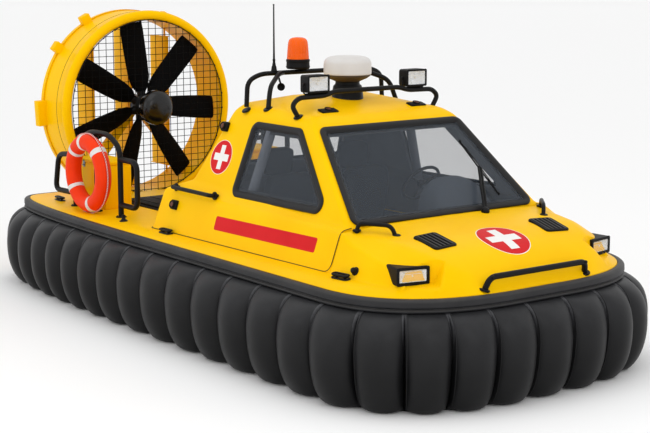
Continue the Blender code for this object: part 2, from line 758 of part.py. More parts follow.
def make_rudders():
    for number, y in enumerate(RUDDER_Y, 1):
        half = math.sqrt(DUCT_CLEAR ** 2 - (abs(y) + 0.10) ** 2) - 0.02
        top, bottom = FAN_Z + half, FAN_Z - half
        outline = [(0.075, 0.0), (0.05, 0.014), (0.0, 0.017), (-0.17, 0.010), (-0.30, 0.002),
                   (-0.30, -0.002), (-0.17, -0.010), (0.0, -0.017), (0.05, -0.014)]
        rudder = loft(f"rudder_{number}", [[(x, w, z) for x, w in outline]
                                           for z in (bottom - FAN_Z, top - FAN_Z)], "yellow_gelcoat")
        reach = math.sqrt(DUCT_CLEAR ** 2 - (abs(y) + 0.012) ** 2) - GAP
        fuse(rudder, add_turned("pin", (0, 0, -reach), (0, 0, 1), [(0, 0.012), (2 * reach, 0.012)],
                                10, None))
        tidy_mesh(rudder, 35)
        rudder.location = (RUDDER_HINGE_X, y, FAN_Z)


# Deck fittings

def make_engine():
    add_box("engine", (-2.05, -0.28, ENGINE_BAY[0][2] + GAP), (-1.42, 0.28, 0.82), "engine_metal")
    rings = [[(x, y, deck_z(x) + lift) for y, lift in ((-0.65, GAP), (0.65, GAP), (0.65, 0.022),
                                                       (-0.65, 0.022))] for x in (-2.14, -1.32)]
    loft("engine_hatch", rings, "black_plastic")


def make_lockers():
    """Lockers beside the fan: columns of the table are lift above the deck or height, inset."""
    for label, side in SIDES:
        rings = []
        for height, inset in ((None, 0.0), (1.29, 0.0), (1.33, 0.015)):
            base = [(-2.28 + inset, 1.02 - inset), (-1.75 - inset, 1.02 - inset),
                    (-1.75 - inset, 0.72 + inset), (-2.28 + inset, 0.72 + inset)]
            rings.append([(x, y * side, deck_z(x) + GAP if height is None else height)
                          for x, y in base])
        loft("deck_locker_" + label, rings, "yellow_gelcoat")


def make_rails(hull):
    tube = RAIL_TUBE
    for label, side in SIDES:

        def at(x, z):
            return (x, RAIL_Y * side, z)

        hoop = [at(-1.26, 0.85), at(-1.26, 1.52), at(-1.46, 1.63), at(-1.80, 1.63),
                at(-2.16, 1.50), at(-2.16, 0.85)]
        rail = add_tube("rail_" + label, hoop, tube, "black_metal", bend=0.09)
        front = [at(-1.26, 1.42), at(-0.95, 1.42), at(-0.95, 0.99), at(-1.26, 0.99)]
        rear = [at(-2.16, 1.38), at(-2.50, 1.34), at(-2.58, 0.98), at(-2.16, 0.99)]
        fuse(rail, add_tube("front_loop", front, tube, None, bend=0.09),
             add_tube("rear_loop", rear, tube, None, bend=0.08),
             add_tube("post", [at(-1.72, 1.62), at(-1.72, 0.85)], tube, None))
        for x in (-1.26, -1.72, -2.16):
            fuse(rail, add_turned("foot", (x, RAIL_Y * side, 0.84), (0, 0, 1),
                                  [(0, 0.05), (deck_z(x) + 0.012 - 0.84, 0.05)], 12, None))
        tidy_mesh(seat(rail, hull), 50)
        if side < 0:
            buoy_rail = rail
    return buoy_rail


def make_lifebuoy(rail):
    section = [(BUOY_TUBE * math.sin(a), BUOY_RADIUS + BUOY_TUBE * math.cos(a))
               for a in (math.radians(18 + 36 * k) for k in range(10))]
    y = -(RAIL_Y + RAIL_TUBE + BUOY_TUBE - 0.004)
    buoy = add_ring("lifebuoy", (BUOY_CENTRE[0], y, BUOY_CENTRE[1]), (0, 1, 0), section, 28,
                    "orange_foam")
    return tidy_mesh(seat(buoy, rail, (0, -1, 0)), 40)


def make_roof_rack(canopy):
    """Rear hoop across the roof, braced forwards at both ends."""
    tube = ROOF_TUBE
    bar = ROOF_BAR_Z
    half = [(0.31, 0.748, 2.015), (0.31, 0.735, 2.235), (0.31, 0.60, bar)]
    points = [(x, -y, z) for x, y, z in half] + half[::-1]
    rack = add_tube("roof_rack", points, tube, "black_metal", bend=0.08)
    for side in (-1, 1):
        brace = [(0.57, 0.700, 2.02), (0.53, 0.650, 2.20), (0.37, 0.450, bar - 0.004),
                 (0.31, 0.360, bar)]
        fuse(rack, add_tube("brace", [(x, y * side, z) for x, y, z in brace], tube, None,
                            bend=0.08))
    x, y = BEACON_PLACE
    fuse(rack, add_turned("beacon_plate", (x, y, bar), (0, 0, 1),
                          [(0, 0.09), (tube + 0.006, 0.09)], 16, None))
    return tidy_mesh(seat(rack, canopy), 50)


def make_lamp_bar(canopy):
    tube = ROOF_TUBE
    half = [(1.04, 0.715, 1.968), (1.04, 0.79, 2.085), (1.04, 0.72, 2.145), (1.04, 0.45, 2.150),
            (1.04, 0.35, 2.180)]
    points = [(x, -y, z) for x, y, z in half] + half[::-1]
    bar = add_tube("lamp_bar", points, tube, "black_metal", bend=0.03)
    for side in (-1, 1):
        fuse(bar, add_box("bracket", (0.99, ROOF_LAMPS * side - 0.035, 2.15),
                          (1.05, ROOF_LAMPS * side + 0.035, 2.183), None))
    return tidy_mesh(seat(bar, canopy), 50)


def make_roof_things(canopy, rack):
    for label, side in SIDES:
        y = ROOF_LAMPS * side
        rings = [[(x, y + w * s, z) for w, z in ((-0.10, 2.184), (0.10, 2.184), (0.10, top),
                                                 (-0.10, top))]
                 for x, s, top in ((0.945, 0.75, 2.30), (1.06, 1.0, 2.322))]
        add_box("roof_lamp_lens_" + label, (1.06 + GAP, y - 0.088, 2.197), (1.07, y + 0.088, 2.309),
                "lamp_glass")
        loft("roof_lamp_" + label, rings, "black_plastic")
    x, y = BEACON_PLACE
    base = ROOF_BAR_Z + ROOF_TUBE + 0.006 + 3 * GAP
    add_turned("beacon_base", (x, y, base), (0, 0, 1),
               [(0, 0.105), (0.035, 0.105), (0.05, 0.098), (0.085, 0.098)], 20, "black_plastic")
    add_turned("beacon_lens", (x, y, base + 0.085 + GAP), (0, 0, 1),
               [(0, 0.096), (0.14, 0.086), (0.175, 0.066), (0.190, 0.025)], 20, "amber_plastic")
    foot = add_turned("radar_foot", (0.764, 0, 2.045), (0, 0, 1),
                      [(0, 0.145), (0.03, 0.145), (0.09, 0.130), (0.187 - GAP, 0.10)], 20,
                      "black_plastic")
    seat(foot, canopy)
    add_turned("radar_dome", (0.764, 0, 2.232 + 2 * GAP), (0, 0, 1),
               [(0, 0.110), (0.045, 0.195), (0.06, 0.205), (0.15, 0.207), (0.185, 0.195),
                (0.208, 0.16), (0.220, 0.08)], 28, "white_plastic")
    whip = add_turned("antenna", (0.31, -0.457, ROOF_BAR_Z + 0.014), (0, 0, 1),
                      [(0, 0.026), (0.045, 0.024), (0.09, 0.009), (0.19, 0.006), (0.582, 0.004)],
                      8, "black_plastic")
    seat(whip, rack)


def headlamp_place(side):
    return Matrix.Translation((2.80, 0.978 * side, 0.990)) @ Matrix.Rotation(
        math.radians(12) * side, 4, 'Z')


def headlamp_box(name, side, grow, material=None):
    low = Vector((-0.10, -0.15, -0.075)) - Vector((grow, grow, grow))
    high = Vector((0.05, 0.15, 0.075)) + Vector((grow, grow, grow))
    box = add_box(name, low, high, material)
    box.data.transform(headlamp_place(side))
    return box


def make_headlamps():
    for label, side in SIDES:
        headlamp_box("headlamp_" + label, side, 0.0, "black_plastic")
        lens = add_box("headlamp_lens_" + label, (0.05 + GAP, -0.105, -0.054),
                       (0.058, 0.105, 0.054), "lamp_glass")
        lens.data.transform(headlamp_place(side))


def make_hood_fittings(hull):
    rail = add_tube("bow_rail", [(3.115, -0.529, 0.852), (3.15, -0.500, 0.965),
                                 (3.15, 0.500, 0.965), (3.115, 0.529, 0.852)], 0.021,
                    "black_metal", bend=0.05)
    for side in (-1, 1):
        fuse(rail, add_turned("foot", (3.115, 0.529 * side, 0.852), (0, 0, 1),
                              [(0, 0.035), (0.030, 0.035)], 12, None))
    tidy_mesh(seat(rail, hull, (1, 0, 1)), 50)
    for label, side in SIDES:
        grab = [(2.16, 0.985, 1.17), (2.17, 0.975, 1.285), (2.37, 0.81, 1.275), (2.40, 0.778, 1.17)]
        handle = add_tube("hood_rail_" + label, [(x, y * side, z) for x, y, z in grab], 0.017,
                          "black_metal", bend=0.05)
        tidy_mesh(seat(handle, hull), 50)
        slope = math.radians(13.3)
        vent = add_box("hood_vent_" + label, (-0.13, -0.12, -0.02), (0.13, 0.12, 0.012),
                       "black_plastic")
        vent.data.transform(Matrix.Translation((2.64, 0.60 * side, 1.145)) @
                            Matrix.Rotation(slope, 4, 'Y'))
        seat(vent, hull)


def make_grab_handles(canopy):
    for label, side in SIDES:
        y = 1.125
        path = [(-0.33, 1.045, 1.262), (-0.33, y, 1.275), (0.30, y, 1.275), (0.30, 1.045, 1.262)]
        handle = add_tube("grab_handle_" + label, [(a, b * side, c) for a, b, c in path], 0.015,
                          "black_metal", bend=0.03, sides=6)
        tidy_mesh(seat(handle, canopy, (0, side, 0)), 50)


def make_wiper():
    """Arm and blade over the windscreen, turning about the glass's normal."""
    def on_glass(side_step, climb, lift):
        return Vector((0, side_step, 0)) + GLASS_UP * climb + GLASS_NORMAL * lift

    wiper = add_turned("wiper", on_glass(0, 0, WIPER_SEAT + GAP), GLASS_NORMAL,
                       [(0, 0.020), (0.030, 0.020)], 12, "black_plastic")
    arm = [on_glass(0, 0, 0.01), on_glass(0.11, 0.22, 0.02), on_glass(0.235, 0.46, -0.004)]
    fuse(wiper, add_tube("arm", arm, 0.008, None, sides=6))
    blade = [on_glass(0.263, 0.152, -0.012), on_glass(0.209, 0.762, -0.012)]
    fuse(wiper, add_tube("blade", blade, 0.009, None, sides=6))
    wiper.location = WIPER_PIVOT
    return tidy_mesh(wiper, 40)


def make_parts():
    for thing in list(bpy.data.objects):
        bpy.data.objects.remove(thing)
    hull = make_hull()
    make_fender()
    make_skirt()
    canopy = make_canopy()
    dash = make_dashboard()
    make_steering(dash)
    make_seats()
    duct = make_duct()
    make_guard(duct)
    make_rotor()
    make_fan_stay(duct)
    make_rudders()
    make_engine()
    make_lockers()
    make_lifebuoy(make_rails(hull))
    rack = make_roof_rack(canopy)
    make_lamp_bar(canopy)
    make_roof_things(canopy, rack)
    make_headlamps()
    make_hood_fittings(hull)
    make_grab_handles(canopy)
    make_wiper()


make_parts()
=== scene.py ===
# %% [markdown]
# # A yellow rescue hovercraft, piece by piece
# A hovercraft is a boat hull that sits on a rubber skirt full of air, with a fan in a duct to
# push it along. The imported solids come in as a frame: they say where each piece is and how it
# moves. This lesson gives each of them its finished form and finish.

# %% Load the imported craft
import math

import bmesh
import bpy
import numpy as np
from mathutils import Matrix, Vector
from mathutils.bvhtree import BVHTree


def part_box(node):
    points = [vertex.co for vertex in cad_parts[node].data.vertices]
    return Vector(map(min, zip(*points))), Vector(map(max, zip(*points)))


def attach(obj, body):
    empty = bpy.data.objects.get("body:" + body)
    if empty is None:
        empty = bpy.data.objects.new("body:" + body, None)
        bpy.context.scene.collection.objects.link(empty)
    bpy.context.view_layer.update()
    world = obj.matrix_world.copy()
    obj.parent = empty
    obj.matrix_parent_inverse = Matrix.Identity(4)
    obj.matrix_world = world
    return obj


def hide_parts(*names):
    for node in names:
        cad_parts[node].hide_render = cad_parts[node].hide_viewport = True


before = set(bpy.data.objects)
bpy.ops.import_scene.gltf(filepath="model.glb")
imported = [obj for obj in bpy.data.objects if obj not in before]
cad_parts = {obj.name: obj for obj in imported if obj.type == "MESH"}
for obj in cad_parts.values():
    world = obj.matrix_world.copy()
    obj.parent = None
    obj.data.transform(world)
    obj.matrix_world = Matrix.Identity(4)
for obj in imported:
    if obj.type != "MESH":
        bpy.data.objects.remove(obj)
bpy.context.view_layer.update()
SIDES = (("port", 1), ("starboard", -1))

# %% [markdown]
# ## Camera
# The photograph was solved for its viewpoint: a long lens ahead of the starboard bow, a little
# above the roof. Its axes are built as vectors, because three unit vectors at right angles are
# all that a camera's rotation is.

# %% Camera at the photograph's viewpoint
FOCAL_PIXELS, PHOTO_WIDTH = 1564.0, 650
camera = bpy.data.objects.new("camera", bpy.data.cameras.new("camera"))
bpy.context.collection.objects.link(camera)
camera.data.sensor_width = 36.0
camera.data.lens = 36.0 * FOCAL_PIXELS / PHOTO_WIDTH
heading, tilt = math.radians(53.273), math.radians(9.734)
back = Vector((math.sin(heading) * math.cos(tilt), -math.cos(heading) * math.cos(tilt),
    math.sin(tilt)))
right = Vector((math.cos(heading), math.sin(heading), 0.0))
turned = Matrix((right, back.cross(right), back)).transposed().to_4x4()
camera.matrix_world = Matrix.Translation((11.492, -8.247, 3.363)) @ turned
camera.data.clip_end = 2000.0
bpy.context.scene.camera = camera
bpy.context.scene.view_settings.view_transform = "Standard"
print("lens:", round(camera.data.lens, 1), "mm")

# %% [markdown]
# ## Studio
# The photograph is a cut-out on white under a wide soft light from above. A pale floor, a white
# world and three large area lights give the same broad reflections on rubber and gelcoat.

# %% Floor, world and lights
def new_material(name, **plain):
    """A material with its tree and shader; plain holds values for the shader's own sockets."""
    material = bpy.data.materials.new(name)
    material.use_nodes = True
    shader = material.node_tree.nodes["Principled BSDF"]
    for label, value in plain.items():
        shader.inputs[label.replace("_", " ")].default_value = value
    return material, material.node_tree, shader


floor_mesh = bpy.data.meshes.new("studio_floor")
floor_mesh.from_pydata([(-500, -500, 0), (500, -500, 0), (500, 500, 0), (-500, 500, 0)], [],
    [(0, 1, 2, 3)])
floor = bpy.data.objects.new("studio_floor", floor_mesh)
bpy.context.collection.objects.link(floor)
floor_mesh.materials.append(new_material("studio_paper", Base_Color=(0.96, 0.96, 0.96, 1),
    Roughness=0.9)[0])

world = bpy.data.worlds.new("soft_white")
world.use_nodes = True
world.node_tree.nodes["Background"].inputs["Color"].default_value = (1, 1, 1, 1)
world.node_tree.nodes["Background"].inputs["Strength"].default_value = 0.97
bpy.context.scene.world = world


def area_light(name, place, target, size, power):
    """A square soft box at a place, aimed at a point."""
    lamp = bpy.data.objects.new(name, bpy.data.lights.new(name, "AREA"))
    lamp.data.size, lamp.data.energy = size, power
    lamp.location = place
    lamp.rotation_euler = (Vector(target) - Vector(place)).to_track_quat("-Z", "Y").to_euler()
    bpy.context.collection.objects.link(lamp)


area_light("overhead_box", (2.0, -2.5, 9.0), (0.3, 0.0, 1.0), 7.0, 110)
area_light("bow_box", (9.5, -3.0, 5.5), (1.0, 0.0, 1.0), 4.0, 60)
area_light("side_box", (0.0, -10.0, 5.0), (0.0, 0.0, 1.0), 5.0, 50)
print("lights:", len(bpy.data.lights))

# %% [markdown]
# ## Shared effects for the finishes
# Real surfaces are never one flat colour. Three node groups are built once and used in every
# material: blotches and fine grain, soft and worn edges, and dust on whatever faces up. They
# only put out colours, masks and normals, and each material keeps its own shader.

# %% Helpers for node trees
def new_group(name, kind, inputs, outputs):
    """A node group with named sockets; inputs are (name, socket type, default)."""
    tree = bpy.data.node_groups.new(name, kind)
    for label, socket, value in inputs:
        made = tree.interface.new_socket(label, in_out="INPUT", socket_type=socket)
        if value is not None:
            made.default_value = value
    for label, socket in outputs:
        tree.interface.new_socket(label, in_out="OUTPUT", socket_type=socket)
    return tree, tree.nodes.new("NodeGroupInput"), tree.nodes.new("NodeGroupOutput")


def add_node(tree, kind, settings=None, **sockets):
    """Adds a node, sets its options, and links or sets its sockets by name."""
    node = tree.nodes.new(kind)
    for key, value in (settings or {}).items():
        setattr(node, key, value)
    for label, value in sockets.items():
        label = label.replace("_", " ")
        socket = node.inputs[int(label[1:])] if label[0] == "n" and label[
            1:].isdigit() else node.inputs[label]
        if isinstance(value, bpy.types.NodeSocket):
            tree.links.new(value, socket)
        else:
            socket.default_value = value
    return node


def math_node(tree, operation, first, second=0.0, clamp=False):
    return add_node(tree, "ShaderNodeMath", {"operation": operation, "use_clamp": clamp}, n0=first,
        n1=second).outputs[0]


def mix_colour(tree, share, first, second):
    node = add_node(tree, "ShaderNodeMix", {"data_type": "RGBA"})
    for index, value in ((0, share), (6, first), (7, second)):
        if isinstance(value, bpy.types.NodeSocket):
            tree.links.new(value, node.inputs[index])
        else:
            node.inputs[index].default_value = value
    return node.outputs[2]


# %% Group 1: blotches and grain
FLOAT, COLOUR, VECTOR = "NodeSocketFloat", "NodeSocketColor", "NodeSocketVector"
weather, g_in, g_out = new_group("weathered_surface", "ShaderNodeTree",
    [("Base", COLOUR, None), ("Shade", COLOUR, None), ("Amount", FLOAT, 0.5),
    ("Blotch Scale", FLOAT, 2.0), ("Grain Scale", FLOAT, 120.0), ("Rough", FLOAT, 0.4),
    ("Rough Spread", FLOAT, 0.1)], [("Color", COLOUR), ("Roughness", FLOAT), ("Height", FLOAT)])
place = add_node(weather, "ShaderNodeTexCoord").outputs["Object"]
blotch = add_node(weather, "ShaderNodeTexNoise", Vector=place, Scale=g_in.outputs["Blotch Scale"],
    Detail=5.0, Roughness=0.6).outputs[0]
grain = add_node(weather, "ShaderNodeTexNoise", Vector=place, Scale=g_in.outputs["Grain Scale"],
    Detail=3.0).outputs[0]
spread = add_node(weather, "ShaderNodeMapRange", Value=blotch, From_Min=0.35,
    From_Max=0.68).outputs[0]
share = math_node(weather, "MULTIPLY", spread, g_in.outputs["Amount"])
weather.links.new(mix_colour(weather, share, g_in.outputs["Base"], g_in.outputs["Shade"]),
    g_out.inputs["Color"])
both = math_node(weather, "ADD", math_node(weather, "MULTIPLY", spread, 0.6),
    math_node(weather, "MULTIPLY", grain, 0.4))
rise = math_node(weather, "MULTIPLY", both, g_in.outputs["Rough Spread"])
weather.links.new(math_node(weather, "ADD", g_in.outputs["Rough"], rise),
    g_out.inputs["Roughness"])
weather.links.new(grain, g_out.inputs["Height"])
print("group:", weather.name, len(weather.nodes), "nodes")

# %% Group 2: soft and worn edges
edges, g_in, g_out = new_group("edge_wear", "ShaderNodeTree",
    [("Radius", FLOAT, 0.006), ("Wear", FLOAT, 0.5)], [("Mask", FLOAT), ("Normal", VECTOR)])
bevelled = add_node(edges, "ShaderNodeBevel", {"samples": 4}, Radius=g_in.outputs["Radius"])
flat = add_node(edges, "ShaderNodeNewGeometry")
facing = add_node(edges, "ShaderNodeVectorMath", {"operation": "DOT_PRODUCT"},
    n0=bevelled.outputs[0], n1=flat.outputs["Normal"]).outputs["Value"]
bend = math_node(edges, "MULTIPLY", math_node(edges, "SUBTRACT", 1.0, facing), 6.0, True)
place = add_node(edges, "ShaderNodeTexCoord").outputs["Object"]
broken = add_node(edges, "ShaderNodeTexNoise", Vector=place, Scale=28.0, Detail=6.0).outputs[0]
broken = add_node(edges, "ShaderNodeMapRange", Value=broken, From_Min=0.48, From_Max=0.66).outputs[
    0]
mask = math_node(edges, "MULTIPLY", math_node(edges, "MULTIPLY", bend, broken),
    g_in.outputs["Wear"], True)
edges.links.new(mask, g_out.inputs["Mask"])
edges.links.new(bevelled.outputs[0], g_out.inputs["Normal"])
print("group:", edges.name, len(edges.nodes), "nodes")

# %% Group 3: dust on what faces up
dust, g_in, g_out = new_group("settled_dust", "ShaderNodeTree", [("Amount", FLOAT, 0.3)],
    [("Mask", FLOAT)])
normal = add_node(dust, "ShaderNodeNewGeometry").outputs["Normal"]
upward = add_node(dust, "ShaderNodeSeparateXYZ", Vector=normal).outputs["Z"]
upward = add_node(dust, "ShaderNodeMapRange", Value=upward, From_Min=-0.1, From_Max=0.9).outputs[0]
place = add_node(dust, "ShaderNodeTexCoord").outputs["Object"]
patchy = add_node(dust, "ShaderNodeTexNoise", Vector=place, Scale=9.0, Detail=8.0,
    Roughness=0.7).outputs[0]
mask = math_node(dust, "MULTIPLY", math_node(dust, "MULTIPLY", upward, patchy),
    g_in.outputs["Amount"], True)
dust.links.new(mask, g_out.inputs["Mask"])
print("group:", dust.name, len(dust.nodes), "nodes")

# %% [markdown]
# ## Finishes
# One function lays out a material from the three groups and a short table gives the numbers:
# colour, darker shade, roughness, grain and edge wear. Uniform values such as metallic or coat
# go straight to the shader's own sockets.

# %% The finish builder
def linear(code):
    """A web colour as linear light."""
    parts = [int(code[k:k + 2], 16) / 255 for k in (1, 3, 5)]
    return tuple(c / 12.92 if c < 0.04045 else ((c + 0.055) / 1.055) ** 2.4 for c in parts) + (1,)


def make_finish(name, base, shade, rough, blotch, grain, bump, edge, dusty=0, shine=0.5,
        amount=0.6, wear=0.0, worn=None, dust_tone="#77726A", low=None, **plain):
    """A procedural material; low is painted shade below: (height it starts at, full at, tone,
    share).
    """
    material, tree, shader = new_material(name, Specular_IOR_Level=shine, **plain)
    surface = add_node(tree, "ShaderNodeGroup", {"node_tree": weather}, Base=linear(base),
        Shade=linear(shade), Amount=amount, Blotch_Scale=blotch, Grain_Scale=grain, Rough=rough,
        Rough_Spread=0.12)
    colour = surface.outputs["Color"]
    # Painted shade: below a given height the colour darkens towards a dark tone.
    if low:
        height = add_node(tree, "ShaderNodeSeparateXYZ",
            Vector=add_node(tree, "ShaderNodeTexCoord").outputs["Object"]).outputs["Z"]
        painted_shade_share = add_node(tree, "ShaderNodeMapRange", Value=height, From_Min=low[0], From_Max=low[1],
            To_Max=low[3]).outputs[0]
        colour = mix_colour(tree, painted_shade_share, colour, linear(low[2]))
    rim = add_node(tree, "ShaderNodeGroup", {"node_tree": edges}, Radius=edge, Wear=wear)
    if wear:
        colour = mix_colour(tree, rim.outputs["Mask"], colour, linear(worn))
    if dusty:
        settled = add_node(tree, "ShaderNodeGroup", {"node_tree": dust}, Amount=dusty)
        colour = mix_colour(tree, settled.outputs["Mask"], colour, linear(dust_tone))
    tree.links.new(colour, shader.inputs["Base Color"])
    tree.links.new(surface.outputs["Roughness"], shader.inputs["Roughness"])
    relief = add_node(tree, "ShaderNodeBump", Strength=bump, Distance=0.002,
        Height=surface.outputs["Height"], Normal=rim.outputs["Normal"])
    tree.links.new(relief.outputs[0], shader.inputs["Normal"])
    return material


# %% The table of finishes
# use, name, colour, darker shade, roughness, blotch and grain scale, bump, edge radius, dust,
# shine, and for some the rest by name
FINISHES = (
    ("gelcoat", "gelcoat_yellow", "#FCC600", "#F5B800", 0.32, 1.3, 60, 0.02, 0.008, 0.02, 0.06,
     {"dust_tone": "#8A7A40", "Specular_Tint": (1.0, 0.86, 0.45, 1)}),
    # the skirt's low is painted shade: its fingers darken towards the bottom
    ("skirt", "skirt_rubber", "#1C1C1E", "#131314", 0.40, 3.0, 260, 0.10, 0.003, 0.30, 0.22,
     {"amount": 0.7, "dust_tone": "#4C4D50", "low": (0.60, 0.28, "#070708", 0.8)}),
    # the seam tape's low is painted shade: it darkens towards the bottom
    ("welt", "seam_tape", "#37373A", "#1C1C1E", 0.42, 45.0, 180, 0.35, 0.001, 0.5, 0.22,
     {"amount": 0.9, "dust_tone": "#77787B", "low": (0.66, 0.42, "#0C0C0D", 0.9)}),
    ("fender", "fender_rubber", "#272729", "#1B1B1D", 0.45, 4.0, 150, 0.15, 0.004, 0.22, 0.25,
     {"wear": 0.35, "worn": "#4C4B4F"}),
    ("tube", "tube_black", "#0F0F10", "#0A0A0B", 0.34, 6.0, 220, 0.10, 0.002, 0.03, 0.14,
     {"wear": 0.25, "worn": "#3A3A3A"}),
    ("plastic", "black_plastic", "#111112", "#0B0B0C", 0.48, 8.0, 400, 0.25, 0.003, 0.05, 0.12,
     {"wear": 0.15, "worn": "#2C2C2D"}),
    ("cabin", "cabin_plastic", "#464D57", "#3A4049", 0.62, 5.0, 300, 0.06, 0.008, 0.06, 0.2),
    ("liner", "cabin_liner", "#666A72", "#575B63", 0.70, 5.0, 300, 0.06, 0.008, 0.06, 0.2),
    ("fabric", "seat_fabric", "#282C32", "#1E2126", 0.82, 6.0, 700, 0.25, 0.004, 0.06, 0.15),
    ("seal", "window_seal", "#161618", "#101012", 0.42, 9.0, 200, 0.12, 0.003, 0.06, 0.25),
    ("blade", "blade_black", "#070708", "#040405", 0.50, 7.0, 300, 0.2, 0.003, 0.02, 0.05,
     {"wear": 0.2, "worn": "#1C1C1D"}),
    ("spinner", "spinner_black", "#0C0C0D", "#070708", 0.16, 5.0, 200, 0.03, 0.004, 0.02, 0.4,
     {"amount": 0.5}),
    ("orange", "lifebuoy_orange", "#F23A06", "#E43204", 0.42, 7.0, 130, 0.2, 0.003, 0.03, 0.12),
    ("band", "band_white", "#E4E2DE", "#C9C6C0", 0.45, 14.0, 260, 0.2, 0.002, 0.15),
    ("dome", "dome_white", "#D6D3D0", "#C8C4C0", 0.32, 5.0, 90, 0.03, 0.005, 0.12, 0.3,
     {"amount": 0.5}),
    ("dome_base", "dome_base", "#4C3E31", "#352B23", 0.55, 9.0, 160, 0.1, 0.003, 0.1),
    ("engine", "engine_metal", "#7A7B7D", "#4F5052", 0.45, 12.0, 160, 0.2, 0.004,
     {"amount": 0.7, "Metallic": 0.8}),
    ("chrome", "lamp_reflector", "#E6E7E8", "#C4C6C8", 0.22, 12.0, 90, 0.02, 0.001,
     {"amount": 0.4, "Metallic": 0.3}),
    ("steel", "steel_bolt", "#8D8F92", "#66686B", 0.32, 40.0, 240, 0.1, 0.001,
     {"Metallic": 0.9}),
    ("red", "sticker_red", "#D2141B", "#C20F16", 0.38, 5.0, 90, 0.02, 0.001, 0.02, 0.12,
     {"amount": 0.4}),
    ("white", "sticker_white", "#EEEDEA", "#E0DEDA", 0.38, 5.0, 90, 0.02, 0.001, 0.03, 0.2,
     {"amount": 0.4}),
    ("beacon_core", "beacon_core", "#8A2A08", "#5E1B05", 0.35, 30.0, 160, 0.1, 0.002),
    ("amber_dark", "marker_amber", "#6A2A06", "#3C1804", 0.25, 30.0, 160, 0.05, 0.002),
    ("bulb", "bulb_white", "#F6F3EA", "#E8E2D2", 0.2, 20.0, 120, 0.02, 0.001, {"amount": 0.4}))
finishes = {}
for use, *row in FINISHES:
    rest = row.pop() if isinstance(row[-1], dict) else {}
    finishes[use] = make_finish(*row, **rest)
print("finishes:", len(finishes))

# %% [markdown]
# Glass is thin, so it doesn't have to bend light: a shader with a low alpha keeps its sharp
# reflections and lets daylight into the cab. A faint film of dust makes it a little less clear
# in patches.

# %% Glass and lamp finishes
def make_glass(name, tint, alpha, film, rough=0.02, scale=5.0, **plain):
    """alpha is how much of the pane is seen, film what dust adds to that."""
    material, tree, shader = new_material(name, **plain)
    surface = add_node(tree, "ShaderNodeGroup", {"node_tree": weather}, Base=linear(tint),
        Shade=linear(tint), Amount=0.1, Blotch_Scale=scale, Grain_Scale=90.0, Rough=rough,
        Rough_Spread=0.05)
    settled = add_node(tree, "ShaderNodeGroup", {"node_tree": dust}, Amount=film)
    cover = math_node(tree, "ADD", settled.outputs["Mask"], alpha, True)
    tree.links.new(surface.outputs["Color"], shader.inputs["Base Color"])
    tree.links.new(surface.outputs["Roughness"], shader.inputs["Roughness"])
    tree.links.new(cover, shader.inputs["Alpha"])
    return material


finishes["glass"] = make_glass("smoke_glass", "#59616B", 0.17, 0.02)
finishes["clear"] = make_glass("lamp_glass", "#E8ECF0", 0.1, 0.05, 0.05, 20.0)
finishes["amber"] = make_glass("amber_lens", "#F86200", 0.93, 0.01, 0.12, 20.0,
    Specular_IOR_Level=0.2)
print("glass:", [finishes[k].name for k in ("glass", "clear", "amber")])

# %% [markdown]
# ## Mesh helpers
# A shell here is a plain pair of lists: points and faces. Small functions make tubes, turned
# shapes and soft boxes as shells, and one function turns shells into a finished piece that rides
# on a body and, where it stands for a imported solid, hides it.

# %% Shells: join, sweep, turn, box
def join_shells(shells):
    points, faces = [], []
    for verts, polys in shells:
        start = len(points)
        points += [tuple(v) for v in verts]
        faces += [tuple(start + i for i in poly) for poly in polys]
    return points, faces


def loft_shell(rings, closed=False, caps=True):
    """Joins rings of equally many points with quads."""
    rings = [[tuple(p) for p in ring] for ring in rings]
    count, total = len(rings[0]), len(rings)
    faces = []
    for k in range(total if closed else total - 1):
        a, b = k * count, ((k + 1) % total) * count
        faces += [(a + i, a + (i + 1) % count, b + (i + 1) % count, b + i) for i in range(count)]
    if caps and not closed:
        faces += [tuple(range(count))[::-1], tuple((total - 1) * count + i for i in range(count))]
    return [p for ring in rings for p in ring], faces


def soft_corner(start, corner, end, steps):
    """Points along a short curve that replaces a corner."""
    return [(1 - t) ** 2 * start + 2 * t * (1 - t) * corner + t * t * end
        for t in (k / steps for k in range(steps + 1))]


def round_path(points, bend):
    """Replaces the inner corners of a polyline by arcs that start bend away from them."""
    points = [Vector(p) for p in points]
    path = [points[0]]
    for before, here, after in zip(points, points[1:], points[2:]):
        a, b = before - here, after - here
        reach = min(bend, 0.48 * a.length, 0.48 * b.length)
        path += soft_corner(here + a.normalized() * reach, here, here + b.normalized() * reach, 7)
    return path + [points[-1]]


def ring_about(hub, radius, side, other, count):
    """Points evenly round a hub, in the plane of two unit vectors."""
    return [hub + radius * (math.cos(a) * side + math.sin(a) * other)
        for a in (2 * math.pi * k / count for k in range(count))]


def tube_shell(points, radius, bend=0.07, sides=18, closed=False):
    """A round tube along a path, carried without twist, with flat ends."""
    path = [Vector(p) for p in points] if closed or bend == 0 else round_path(points, bend)
    count = len(path)
    side, rings = None, []
    for i, point in enumerate(path):
        ahead = path[(i + 1) % count] if closed or i < count - 1 else point
        behind = path[i - 1] if closed or i else point
        tangent = (ahead - behind).normalized()
        if side is None:
            helper = Vector((0.13, 0.07, 1.0))
            if abs(helper.normalized().dot(tangent)) > 0.95:
                helper = Vector((1.0, 0.1, 0.0))
            side = tangent.cross(helper)
        side = (side - tangent * side.dot(tangent)).normalized()
        other = tangent.cross(side)
        rings.append(ring_about(point, radius, side, other, sides))
    return loft_shell(rings, closed)


def turned_shell(centre, axis, profile, sides=48, closed=False):
    """A lathe shape: profile is (distance along the axis, radius); closed makes a ring."""
    axis = Vector(axis).normalized()
    side = axis.cross(Vector((0, 0, 1)))
    side = side.normalized() if side.length > 1e-4 else Vector((1, 0, 0))
    other = axis.cross(side)
    rings = []
    for along, radius in profile:
        rings.append(ring_about(Vector(centre) + axis * along, radius, side, other, sides))
    return loft_shell(rings, closed)


